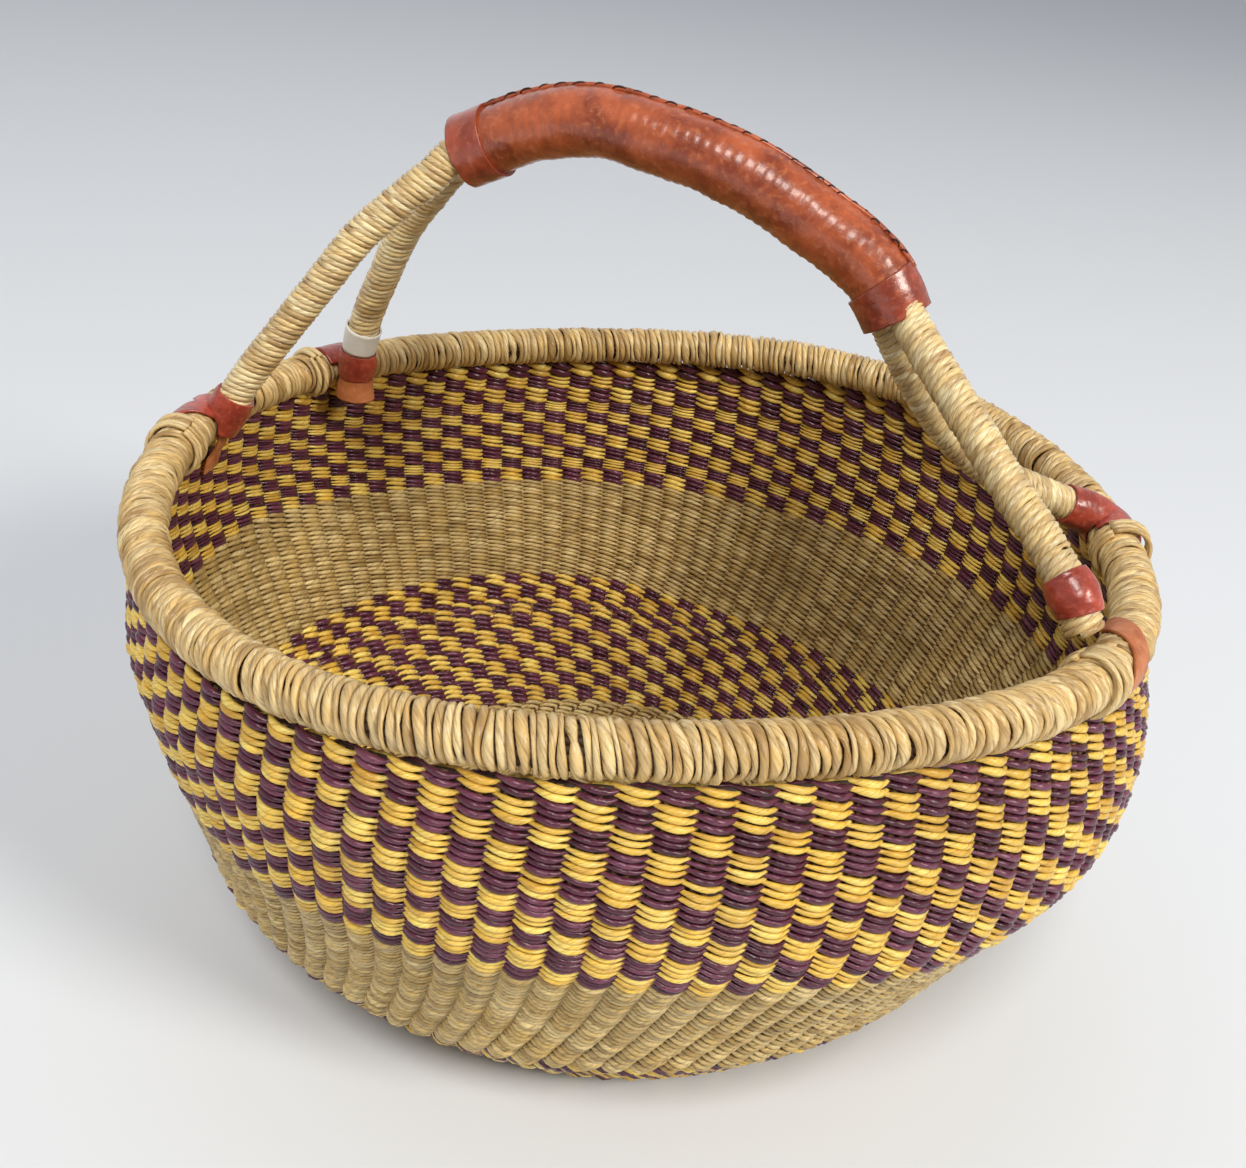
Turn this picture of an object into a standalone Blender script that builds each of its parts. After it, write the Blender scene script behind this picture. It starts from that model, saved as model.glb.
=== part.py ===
"""A round market basket of dyed straw with an arched, leather-gripped handle.

The resting face is at z = 0 and its middle is the origin. The handle runs along X and the wall is
woven in bands, each of which is its own solid. The wave of the hand-made rim is one named function,
so the wall, the rim roll and whatever is tied to them rise and fall together.
"""
import math

import bpy
import bmesh
from mathutils import Matrix, Vector

MM = 0.001

# Rim roll: a bundle of grass bound with straw.
RIM_RADIUS = 200.0 * MM
RIM_HEIGHT = 198.0 * MM
RIM_THICKNESS = 18.4 * MM
RIM_BINDING = 2.0 * MM
RIM_TILT = 5.9 * MM
RIM_SADDLE = 3.1 * MM
RIM_RIPPLE = 4.6 * MM
TILT_TOWARD = math.radians(20.7)
SADDLE_TOWARD = math.radians(112.4)
RIPPLE_TOWARD = math.radians(66.0)

# Woven shell.
WALL_THICKNESS = 5.8 * MM
CLEARANCE = 0.3 * MM
BAND_GAP = 0.3 * MM
ROUND_STEPS = 48
# Outside of the shell from the edge of the resting face upward: share of the rim's radius and height.
WALL_PROFILE_shares = (
    (0.6225, 0.000), (0.6805, 0.020), (0.7290, 0.060), (0.7785, 0.118), (0.8395, 0.190),
    (0.8955, 0.260), (0.9175, 0.3135), (0.9540, 0.400), (0.9920, 0.490), (1.0380, 0.596),
    (1.0540, 0.690), (1.0605, 0.790), (1.0455, 0.880),
)
# The hand-made shell isn't quite round its axis: its middle wanders toward +X and +Y as it rises, by
# this much at these shares of the rim's height.
SHELL_SWAY = (
    (0.0 * MM, 0.0 * MM), (-1.8 * MM, 0.3 * MM), (-4.4 * MM, -1.1 * MM), (0.7 * MM, 1.4 * MM),
    (7.7 * MM, 2.1 * MM), (3.5 * MM, 0.7 * MM), (0.0 * MM, 0.0 * MM),
)
SWAY_HEIGHT_shares = (0.0, 0.091, 0.202, 0.404, 0.606, 0.808, 0.952)
# Steps of the outline that each woven ring takes, from the floor outward and up. The checked rings
# are parted where they bend most, so each is a simple ring.
FLOOR_STEPS = 1
BASE_INNER_STEPS = 2
BASE_OUTER_STEPS = 2
PLAIN_WALL_STEPS = 4
WALL_LOWER_STEPS = 2
WALL_UPPER_STEPS = 2
# The rim's wave has its full height from this share of the rim's height upward.
FULL_WAVE_share = 0.94

# Handle: two bound bundles that share one leather grip.
BUNDLE_THICKNESS = 15.0 * MM
CORE_THICKNESS = 9.0 * MM
CORE_SPACING = 14.4 * MM
ARCH_RISE = 141.4 * MM
GRIP_LEFT_END = 101.5 * MM
GRIP_RIGHT_END = 86.6 * MM
GRIP_BACKSET = 18.5 * MM
GRIP_THICKNESS = 28.4 * MM
GRIP_LEATHER = 1.6 * MM
GRIP_SIDES = 16
STUFFING_SPACE = 0.7 * MM
STUFFING_STOP = 6.0 * MM
CUFF_LENGTH = 15.5 * MM
CUFF_LEATHER = 1.2 * MM
BINDING_STOP = 8.0 * MM
SEAM_THICKNESS = 2.6 * MM
# The front bundle lies beside the back one at the left cuff and half on top of it at the right cuff.
TWIST_LEFT = math.radians(5.0)
TWIST_RIGHT = math.radians(48.0)
# Middle line of the grip: share of the way from the left end to the right, share of the rise.
GRIP_ARCH_shares = (
    (0.000, 0.854), (0.086, 0.912), (0.157, 0.955), (0.236, 0.986), (0.326, 1.000), (0.426, 0.987),
    (0.548, 0.962), (0.669, 0.919), (0.788, 0.851), (0.883, 0.789), (0.952, 0.720), (1.000, 0.633),
)

# Where each leg meets the rim, and its route: share of the way inward and share of the rise. The back
# left leg stands beside the rim roll, on its inner side, and the others stand on the roll.
LEGS = {
    "front_left": {
        "angle": math.radians(-170.4), "inset": 10.8 * MM, "lift": 7.0 * MM, "band_start": 0.6 * MM,
        "route_shares": ((0.055, 0.083), (0.116, 0.161), (0.239, 0.298), (0.417, 0.495), (0.590, 0.683),
                         (0.760, 0.817), (0.894, 0.915)),
    },
    "back_left": {
        "angle": math.radians(163.4), "inset": 18.6 * MM, "lift": -3.0 * MM, "band_start": 0.6 * MM,
        "route_shares": ((0.012, 0.075), (0.030, 0.155), (0.110, 0.297), (0.235, 0.444), (0.358, 0.581),
                         (0.470, 0.686), (0.615, 0.785), (0.800, 0.905)),
    },
    "front_right": {
        "angle": math.radians(-13.4), "inset": 11.5 * MM, "lift": 9.0 * MM, "band_start": 5.0 * MM,
        "route_shares": ((0.068, 0.125), (0.161, 0.226), (0.266, 0.326), (0.420, 0.455), (0.567, 0.592),
                         (0.735, 0.745), (0.890, 0.885)),
    },
    "back_right": {
        "angle": math.radians(24.6), "inset": 10.6 * MM, "lift": 7.0 * MM, "band_start": 0.6 * MM,
        "route_shares": ((0.083, 0.039), (0.202, 0.094), (0.335, 0.158), (0.492, 0.255), (0.633, 0.394),
                         (0.759, 0.563), (0.879, 0.764)),
    },
}
BAND_LENGTH = 17.0 * MM
BAND_LEATHER = 1.2 * MM
TAG_LENGTH = 13.0 * MM
TAG_PAPER = 0.5 * MM
TAG_SPACE = 1.0 * MM
ROUTE_STEP = 12.0 * MM

# Leather straps over the rim and straw lashings beside them.
STRAP_WIDTH = 11.0 * MM
STRAP_LEATHER = 1.4 * MM
STRAP_TAIL = 24.0 * MM
STRAP_BACKOFF = math.radians(16.0)
STRAP_LEAVES_AT = math.radians(-14.0)
TONGUE_TAIL = 22.0 * MM
LASH_STRAND = 2.6 * MM
LASH_PITCH = 3.3 * MM
LASH_POINTS = 24
LASH_STANDOFF = 0.8 * MM
NOTCH_MARGIN = 1.0 * MM
LASHINGS = {
    "front_left": {"loops": 4, "side": 1},
    "back_left": {"loops": 2, "side": 1},
    "front_right": {"loops": 4, "side": -1},
    "back_right": {"loops": 3, "side": 1},
}

STRAW = (0.58, 0.40, 0.16, 1.0)
CHECK = (0.36, 0.19, 0.12, 1.0)
GRASS = (0.42, 0.33, 0.17, 1.0)
GRIP_BROWN = (0.42, 0.13, 0.05, 1.0)
BAND_RED = (0.30, 0.06, 0.03, 1.0)
STRAP_TAN = (0.50, 0.22, 0.09, 1.0)
PAPER_WHITE = (0.82, 0.80, 0.74, 1.0)


def clear_scene():
    for item in list(bpy.data.objects):
        bpy.data.objects.remove(item, do_unlink=True)


def new_collection(name):
    collection = bpy.data.collections.new(name)
    bpy.context.scene.collection.children.link(collection)
    return collection


def make_material(name, color, roughness):
    material = bpy.data.materials.new(name)
    material.use_nodes = True
    shader = material.node_tree.nodes["Principled BSDF"]
    shader.inputs["Base Color"].default_value = color
    shader.inputs["Roughness"].default_value = roughness
    shader.inputs["Metallic"].default_value = 0.0
    material.diffuse_color = color
    return material


def rim_wave(angle):
    """Height of the hand-made rim above or below its mean at one angle round the basket."""
    tilt = RIM_TILT * math.cos(angle - TILT_TOWARD)
    saddle = RIM_SADDLE * math.cos(2 * (angle - SADDLE_TOWARD))
    ripple = RIM_RIPPLE * math.cos(3 * (angle - RIPPLE_TOWARD))
    return tilt + saddle + ripple


def at_rim(angle, outward, up):
    """A point placed from the middle of the rim roll at one angle."""
    reach = RIM_RADIUS + outward
    return Vector((reach * math.cos(angle), reach * math.sin(angle), RIM_HEIGHT + rim_wave(angle) + up))


def shell_middle(height):
    """How far the middle of the shell has wandered from the basket's axis at one height."""
    knots = [Vector((x, y, share * RIM_HEIGHT)) for (x, y), share in zip(SHELL_SWAY, SWAY_HEIGHT_shares)]
    dense = smooth_route(knots)[0]
    for below, above in zip(dense, dense[1:]):
        if below.z <= height <= above.z:
            found = below.lerp(above, (height - below.z) / (above.z - below.z))
            return Vector((found.x, found.y, 0.0))
    return Vector((0.0, 0.0, 0.0))


def follow_hand(bm):
    """Lift each point by the rim's wave, which fades to nothing at the resting face, and move it with
    the wandering middle of the shell."""
    middles = {}
    for vert in bm.verts:
        height = round(vert.co.z, 6)
        if height not in middles:
            middles[height] = shell_middle(height)
        share = min(1.0, max(0.0, vert.co.z) / (FULL_WAVE_share * RIM_HEIGHT))
        vert.co.z += rim_wave(math.atan2(vert.co.y, vert.co.x)) * share * share
        vert.co += middles[height]


def finish_mesh(bm, name, material, collection):
    bmesh.ops.recalc_face_normals(bm, faces=bm.faces[:])
    if bm.calc_volume(signed=True) < 0.0:
        bmesh.ops.reverse_faces(bm, faces=bm.faces[:])
    mesh = bpy.data.meshes.new(name)
    bm.to_mesh(mesh)
    bm.free()
    mesh.materials.append(material)
    made = bpy.data.objects.new(name, mesh)
    collection.objects.link(made)
    return made


def wall_stations():
    """Matching outer and inner points of the shell in the radius and height plane."""
    outer = [Vector((r * RIM_RADIUS, h * RIM_HEIGHT)) for r, h in WALL_PROFILE_shares]
    top = RIM_HEIGHT - RIM_THICKNESS / 2 - CLEARANCE
    outer.append(Vector((RIM_RADIUS + WALL_THICKNESS, top)))
    inner = []
    for index, point in enumerate(outer):
        before = outer[index - 1] if index else point - Vector((WALL_THICKNESS, 0.0))
        after = outer[index + 1] if index + 1 < len(outer) else point + (point - outer[index - 1])
        along = ((point - before).normalized() + (after - point).normalized()).normalized()
        inner.append(point + Vector((-along.y, along.x)) * WALL_THICKNESS)
    inner[-1] = Vector((RIM_RADIUS, top))
    return outer, inner


def spin_outline(points, on_axis):
    """Turn an outline of radius and height points once round the basket's axis."""
    bm = bmesh.new()
    verts = [bm.verts.new((p.x, 0.0, p.y)) for p in points]
    edges = [bm.edges.new((a, b)) for a, b in zip(verts, verts[1:])]
    if not on_axis:
        edges.append(bm.edges.new((verts[-1], verts[0])))
    bmesh.ops.spin(bm, geom=verts + edges, cent=(0.0, 0.0, 0.0), axis=(0.0, 0.0, 1.0),
                   angle=math.tau, steps=ROUND_STEPS, use_merge=True, use_duplicate=False)
    bmesh.ops.remove_doubles(bm, verts=bm.verts[:], dist=CLEARANCE / 100)
    follow_hand(bm)
    return bm


def build_floor(material, collection):
    """Plain-straw middle of the floor, flat below, its edge turned up a little."""
    outer, inner = wall_stations()
    edge = FLOOR_STEPS
    back = (outer[edge] - outer[edge - 1]).normalized() * (BAND_GAP / 2)
    outline = [Vector((0.0, 0.0)), outer[0], outer[edge] - back, inner[edge] - back,
               inner[0], Vector((0.0, WALL_THICKNESS))]
    return finish_mesh(spin_outline(outline, True), "floor_plain_weave", material, collection)


def build_band(name, start, end, material, collection):
    """One woven band of the shell between two stations of its profile."""
    outer, inner = wall_stations()
    first = (outer[start + 1] - outer[start]).normalized() * (BAND_GAP / 2)
    last = (outer[end] - outer[end - 1]).normalized() * (BAND_GAP / 2)
    if end == len(outer) - 1:
        last = Vector((0.0, 0.0))
    low = [outer[start] + first] + outer[start + 1:end] + [outer[end] - last]
    high = [inner[start] + first] + inner[start + 1:end] + [inner[end] - last]
    return finish_mesh(spin_outline(low + high[::-1], False), name, material, collection)


def circle_at(bm, frame, radius, sides):
    made = bmesh.ops.create_circle(bm, segments=sides, radius=radius, matrix=frame)
    return list({edge for vert in made["verts"] for edge in vert.link_edges})


def build_tube(name, frames, radius, bore, sides, material, collection):
    """A tube through a row of frames, solid when its bore is zero."""
    bm = bmesh.new()
    bmesh.ops.create_circle(bm, cap_ends=True, segments=sides, radius=radius, matrix=frames[0])
    if bore:
        middle = bm.faces[:]
        wall = (radius - bore) * math.cos(math.pi / sides)
        bmesh.ops.inset_region(bm, faces=middle, thickness=wall, use_boundary=True,
                               use_even_offset=True)
        bmesh.ops.delete(bm, geom=middle, context="FACES")
    end = bm.faces[:]
    for index, (here, there) in enumerate(zip(frames, frames[1:])):
        made = bmesh.ops.extrude_face_region(bm, geom=end)["geom"]
        if index:
            bmesh.ops.delete(bm, geom=[face for face in end if face.is_valid], context="FACES")
        moved = [item for item in made if isinstance(item, bmesh.types.BMVert)]
        bmesh.ops.transform(bm, matrix=there @ here.inverted(), verts=moved)
        end = [item for item in made if isinstance(item, bmesh.types.BMFace)]
    return finish_mesh(bm, name, material, collection)


def rim_frame(angle):
    """Frame across the rim roll: X outward, Y upward, Z along the rim."""
    step = math.radians(0.5)
    ahead = (at_rim(angle + step, 0.0, 0.0) - at_rim(angle - step, 0.0, 0.0)).normalized()
    outward = Vector((math.cos(angle), math.sin(angle), 0.0))
    up = ahead.cross(outward).normalized()
    outward = up.cross(ahead).normalized()
    frame = Matrix((outward, up, ahead)).transposed().to_4x4()
    frame.translation = at_rim(angle, 0.0, 0.0)
    return frame


def rim_stations():
    """Angles round the rim that its core and bindings share, with a narrow gap at each joint."""
    gap = BAND_GAP / 2 / RIM_RADIUS
    made = [math.tau * index / ROUND_STEPS for index in range(ROUND_STEPS)]
    for leg in LEGS.values():
        joint = leg["angle"] % math.tau
        made = [angle for angle in made if abs(angle - joint) > math.pi / ROUND_STEPS / 2]
        made += [joint - gap, joint + gap]
    return sorted(made)


def build_rim_core(material, collection):
    """The grass bundle inside the rim, one closed ring."""
    bm = bmesh.new()
    radius = RIM_THICKNESS / 2 - RIM_BINDING - CLEARANCE
    rings = [circle_at(bm, rim_frame(angle), radius, 12) for angle in rim_stations()]
    for first, second in zip(rings, rings[1:] + rings[:1]):
        bmesh.ops.bridge_loops(bm, edges=first + second)
    return finish_mesh(bm, "rim_core_grass_bundle", material, collection)


def build_rim_binding(name, start, end, material, collection):
    """Straw binding of the rim roll between two joints."""
    span = (end - start) % math.tau
    turned = sorted((angle - start) % math.tau for angle in rim_stations())
    frames = [rim_frame(start + turn) for turn in turned if turn < span]
    return build_tube(name, frames, RIM_THICKNESS / 2, RIM_THICKNESS / 2 - RIM_BINDING, 12,
                      material, collection)


def smooth_route(points):
    """A dense, smooth route through a row of points, with its running length."""
    dense = []
    padded = [2 * points[0] - points[1]] + list(points) + [2 * points[-1] - points[-2]]
    for index in range(1, len(padded) - 2):
        a, b, c, d = padded[index - 1:index + 3]
        for step in range(12):
            t = step / 12
            dense.append(0.5 * (2 * b + (c - a) * t + (2 * a - 5 * b + 4 * c - d) * t * t
                                + (3 * b - a - 3 * c + d) * t * t * t))
    dense.append(points[-1].copy())
    lengths = [0.0]
    for first, second in zip(dense, dense[1:]):
        lengths.append(lengths[-1] + (second - first).length)
    return dense, lengths


def point_on(route, length):
    dense, lengths = route
    length = min(max(length, 0.0), lengths[-1])
    for index in range(len(dense) - 1):
        if lengths[index + 1] >= length:
            span = lengths[index + 1] - lengths[index]
            return dense[index].lerp(dense[index + 1], (length - lengths[index]) / span)
    return dense[-1].copy()


def frame_on(route, length):
    """Frame across a handle route: X stays level and Z runs along the route."""
    step = ROUTE_STEP / 20
    total = route[1][-1]
    after, before = point_on(route, min(length + step, total)), point_on(route, max(length - step, 0.0))
    ahead = (after - before).normalized()
    side = Vector((0.0, 1.0, 0.0)).cross(ahead)
    up = ahead.cross(side).normalized()
    side = up.cross(ahead).normalized()
    frame = Matrix((side, up, ahead)).transposed().to_4x4()
    frame.translation = point_on(route, length)
    return frame


def stations(route, cuts):
    """Lengths along a route at every cut, with even steps between, shared by all that lies on it."""
    marks = sorted({0.0, route[1][-1], *cuts})
    made = [marks[0]]
    for first, second in zip(marks, marks[1:]):
        count = max(1, math.ceil((second - first) / ROUTE_STEP))
        made += [first + (second - first) * index / count for index in range(1, count)] + [second]
    return made


def frames_between(route, lengths, start, end):
    return [frame_on(route, length) for length in lengths if start <= length <= end]


def grip_points():
    """Middle line of the grip from its left end to its right end."""
    width = GRIP_LEFT_END + GRIP_RIGHT_END
    return [Vector((along * width - GRIP_LEFT_END, GRIP_BACKSET, RIM_HEIGHT + rise * ARCH_RISE))
            for along, rise in GRIP_ARCH_shares]


def route_in_grip(side, reach, quarter):
    """Points of a route that winds inside the grip, at one reach from the grip's middle line.

    Side is 1 for the front one and -1 for the back one; quarter turns it out of the bundles' line.
    """
    middle = grip_points()
    made = []
    last = len(middle) - 1
    for index, point in enumerate(middle):
        before = middle[max(index - 1, 0)]
        after = middle[min(index + 1, last)]
        ahead = (after - before).normalized()
        normal = Vector((-ahead.z, 0.0, ahead.x))
        turn = TWIST_LEFT + (TWIST_RIGHT - TWIST_LEFT) * index / last + quarter
        offset = Vector((0.0, -math.cos(turn), 0.0)) + normal * math.sin(turn)
        made.append(point + offset * (side * reach))
    return made


def leg_points(name, head):
    """Route points of one leg from its foot at the rim to just short of the grip."""
    leg = LEGS[name]
    foot = at_rim(leg["angle"], -leg["inset"], leg["lift"])
    made = [foot]
    for along, rise in leg["route_shares"]:
        made.append(Vector((foot.x + (head.x - foot.x) * along, foot.y + (head.y - foot.y) * along,
                            foot.z + (head.z - foot.z) * rise)))
    return made


def bundle_route(side_name, side):
    """Whole route of one bundle, from its left foot over the grip to its right foot."""
    inside = route_in_grip(side, CORE_SPACING / 2, 0.0)
    left = leg_points(side_name + "_left", inside[0])
    right = leg_points(side_name + "_right", inside[-1])
    return smooth_route(left + inside + right[::-1])


def nearest_length(route, target):
    dense, lengths = route
    best = min(range(len(dense)), key=lambda index: (dense[index] - target).length)
    return lengths[best]


def build_bundle(side_name, side, mouths, materials, collection):
    """One bundle with its two bindings, the leather bands at its feet and, behind, the paper tag."""
    route = bundle_route(side_name, side)
    total = route[1][-1]
    stop_left = nearest_length(route, mouths[0]) - BINDING_STOP
    stop_right = nearest_length(route, mouths[1]) + BINDING_STOP
    left_band = LEGS[side_name + "_left"]["band_start"]
    right_band = total - LEGS[side_name + "_right"]["band_start"] - BAND_LENGTH
    tag = left_band + BAND_LENGTH + TAG_SPACE
    lengths = stations(route, (left_band, left_band + BAND_LENGTH, tag, tag + TAG_LENGTH, stop_left,
                               stop_right, right_band, right_band + BAND_LENGTH))
    build_tube("handle_core_" + side_name, frames_between(route, lengths, 0.0, total),
               CORE_THICKNESS / 2, 0.0, 8, materials["grass"], collection)
    bore = CORE_THICKNESS / 2 + CLEARANCE
    build_tube("leg_binding_" + side_name + "_left", frames_between(route, lengths, 0.0, stop_left),
               BUNDLE_THICKNESS / 2, bore, 12, materials["straw"], collection)
    build_tube("leg_binding_" + side_name + "_right", frames_between(route, lengths, stop_right, total),
               BUNDLE_THICKNESS / 2, bore, 12, materials["straw"], collection)
    bore = BUNDLE_THICKNESS / 2 + CLEARANCE
    for end_name, start in (("_left", left_band), ("_right", right_band)):
        build_tube("leather_band_" + side_name + end_name,
                   frames_between(route, lengths, start, start + BAND_LENGTH),
                   bore + BAND_LEATHER, bore, 12, materials["band"], collection)
    if side_name == "back":
        build_tube("paper_tag", frames_between(route, lengths, tag, tag + TAG_LENGTH),
                   bore + TAG_PAPER, bore, 12, materials["paper"], collection)


def build_stuffing(name, side, material, collection):
    """Straw packed into the furrow between the two cores, as thick as fits inside the sleeve."""
    half = CORE_SPACING / 2
    bore = (GRIP_THICKNESS / 2 - GRIP_LEATHER) * math.cos(math.pi / GRIP_SIDES) - STUFFING_SPACE
    span = bore + CORE_THICKNESS / 2 + STUFFING_SPACE
    reach = (span - half * half / span) / 2
    route = smooth_route(route_in_grip(side, reach, math.pi / 2))
    start = STUFFING_STOP
    stop = route[1][-1] - STUFFING_STOP
    lengths = stations(route, (start, stop))
    build_tube(name, frames_between(route, lengths, start, stop), bore - reach, 0.0, 8,
               material, collection)


def build_grip(materials, collection):
    """Leather sleeve round both bundles, a cuff at each end and the stitched seam along its top."""
    route = smooth_route(grip_points())
    total = route[1][-1]
    lengths = stations(route, (CUFF_LENGTH, CUFF_LENGTH + CLEARANCE, total - CUFF_LENGTH - CLEARANCE,
                               total - CUFF_LENGTH))
    radius = GRIP_THICKNESS / 2
    build_tube("grip_leather_sleeve", frames_between(route, lengths, 0.0, total), radius,
               radius - GRIP_LEATHER, GRIP_SIDES, materials["grip"], collection)
    bore = radius + CLEARANCE
    build_tube("grip_cuff_left", frames_between(route, lengths, 0.0, CUFF_LENGTH),
               bore + CUFF_LEATHER, bore, GRIP_SIDES, materials["band"], collection)
    build_tube("grip_cuff_right", frames_between(route, lengths, total - CUFF_LENGTH, total),
               bore + CUFF_LEATHER, bore, GRIP_SIDES, materials["band"], collection)
    lift = radius + CLEARANCE + SEAM_THICKNESS / 2
    seam = [frame @ Matrix.Translation((-lift, 0.0, 0.0)) for frame in
            frames_between(route, lengths, CUFF_LENGTH + CLEARANCE, total - CUFF_LENGTH - CLEARANCE)]
    build_tube("grip_stitched_seam", seam, SEAM_THICKNESS / 2, 0.0, 8, materials["grip"], collection)


def hug_rim(bm, angle):
    """Carry a piece modelled straight (X along, Y outward, Z up) onto the rim at one angle."""
    for vert in bm.verts:
        along, outward, up = vert.co
        vert.co = at_rim(angle + along / RIM_RADIUS, outward, up)


def strap_section(reach, angles, tail):
    """Strip of leather round the rim roll, as outline points of outward and up."""
    made = [Vector((reach * math.cos(a), reach * math.sin(a))) for a in angles]
    return made + tail


def build_strap(name, angle, centre_line, material, collection):
    """A strip of leather of even thickness along a line in the plane across the rim."""
    half = STRAP_LEATHER / 2
    left = []
    right = []
    last = len(centre_line) - 1
    for index, point in enumerate(centre_line):
        before = centre_line[max(index - 1, 0)]
        after = centre_line[min(index + 1, last)]
        ahead = (after - before).normalized()
        normal = Vector((-ahead.y, ahead.x))
        left.append(point + normal * half)
        right.append(point - normal * half)
    bm = bmesh.new()
    low = [bm.verts.new((-STRAP_WIDTH / 2, p.x, p.y)) for p in left]
    edges = [bm.edges.new(pair) for pair in zip(low, low[1:])]
    other = [bm.verts.new((-STRAP_WIDTH / 2, p.x, p.y)) for p in right]
    edges += [bm.edges.new(pair) for pair in zip(other, other[1:])]
    bmesh.ops.bridge_loops(bm, edges=edges)
    made = bmesh.ops.extrude_face_region(bm, geom=bm.faces[:])
    moved = [item for item in made["geom"] if isinstance(item, bmesh.types.BMVert)]
    bmesh.ops.translate(bm, verts=moved, vec=(STRAP_WIDTH, 0.0, 0.0))
    hug_rim(bm, angle)
    return finish_mesh(bm, name, material, collection)


def build_straps(materials, collection):
    """A strap over the rim at each joint, and a tongue down the inside at the left ones."""
    reach = RIM_THICKNESS / 2 + CLEARANCE + STRAP_LEATHER / 2
    thick = WALL_THICKNESS
    for name, leg in LEGS.items():
        foot = Vector((-leg["inset"], leg["lift"]))
        band_reach = BUNDLE_THICKNESS / 2 + CLEARANCE + BAND_LEATHER
        start = math.atan2(foot.y, foot.x) % math.tau - math.atan(band_reach / foot.length) - STRAP_BACKOFF
        turns = [start + (STRAP_LEAVES_AT - start) * index / 6 for index in range(7)]
        tail = [Vector((reach + STRAP_LEATHER / 4, -RIM_THICKNESS / 2)),
                Vector((reach + STRAP_LEATHER / 2, -RIM_THICKNESS / 2 - STRAP_TAIL / 3))]
        over = strap_section(reach, turns, tail)
        build_strap("leather_strap_" + name, leg["angle"], over, materials["strap"], collection)
        if name.endswith("left"):
            inner = [Vector((-reach, -RIM_THICKNESS / 6)),
                     Vector((-reach + thick / 2, -RIM_THICKNESS / 2)),
                     Vector((-thick / 2, -RIM_THICKNESS / 2 - TONGUE_TAIL / 3)),
                     Vector((-STRAP_LEATHER / 2, -RIM_THICKNESS / 2 - TONGUE_TAIL * 2 / 3))]
            if leg["inset"] > reach + band_reach:
                inner = inner[1:]
            build_strap("leather_tongue_" + name, leg["angle"], inner, materials["strap"], collection)


def lash_angle(name):
    """Angle of the first loop of a lashing, just beside the leather band of its leg."""
    lashing = LASHINGS[name]
    beside = BUNDLE_THICKNESS / 2 + CLEARANCE + BAND_LEATHER + LASH_STRAND / 2 + LASH_STANDOFF
    return LEGS[name]["angle"] + lashing["side"] * beside / RIM_RADIUS


def build_lashing(name, material, collection):
    """Loops of straw round the rim roll, one unbroken strand with capped ends."""
    lashing = LASHINGS[name]
    loops = lashing["loops"]
    reach = RIM_THICKNESS / 2 + LASH_STANDOFF + LASH_STRAND / 2
    first = lash_angle(name)
    points = []
    for index in range(loops * LASH_POINTS + 1):
        turn = index / LASH_POINTS
        angle = first + lashing["side"] * turn * LASH_PITCH / RIM_RADIUS
        around = math.radians(120.0) - math.tau * turn
        points.append(at_rim(angle, reach * math.cos(around), reach * math.sin(around)))
    least = min((points[a] - points[b]).length - LASH_STRAND
                for a in range(len(points)) for b in range(a + LASH_POINTS // 2, len(points)))
    print("lashing", name, "loops", loops, "least gap to itself mm", round(least / MM, 2))
    curve = bpy.data.curves.new("rim_lashing_" + name, "CURVE")
    curve.dimensions = "3D"
    curve.bevel_depth = LASH_STRAND / 2
    curve.bevel_resolution = 1
    curve.use_fill_caps = True
    spline = curve.splines.new("POLY")
    spline.points.add(len(points) - 1)
    for slot, point in zip(spline.points, points):
        slot.co = (point.x, point.y, point.z, 1.0)
    curve.materials.append(material)
    made = bpy.data.objects.new("rim_lashing_" + name, curve)
    collection.objects.link(made)
    return made


def notch_wall(wall, collection):
    """Openings in the top of the wall that the lashings pass through, just under the rim."""
    for name, lashing in LASHINGS.items():
        length = lashing["loops"] * LASH_PITCH + LASH_STRAND + 2 * NOTCH_MARGIN
        depth = 2 * (RIM_THICKNESS / 2 + LASH_STANDOFF + LASH_STRAND + NOTCH_MARGIN)
        middle = lash_angle(name) + lashing["side"] * lashing["loops"] * LASH_PITCH / 2 / RIM_RADIUS
        bm = bmesh.new()
        bmesh.ops.create_cube(bm, size=1.0)
        bmesh.ops.scale(bm, vec=(length, depth, depth), verts=bm.verts[:])
        hug_rim(bm, middle)
        bmesh.ops.reverse_faces(bm, faces=bm.faces[:])
        mesh = bpy.data.meshes.new("notch_" + name)
        bm.to_mesh(mesh)
        bm.free()
        cutter = bpy.data.objects.new("notch_" + name, mesh)
        cutter.display_type = "WIRE"
        cutter.hide_render = True
        collection.objects.link(cutter)
        cut = wall.modifiers.new("notch_" + name, "BOOLEAN")
        cut.operation = "DIFFERENCE"
        cut.solver = "EXACT"
        cut.object = cutter


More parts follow.
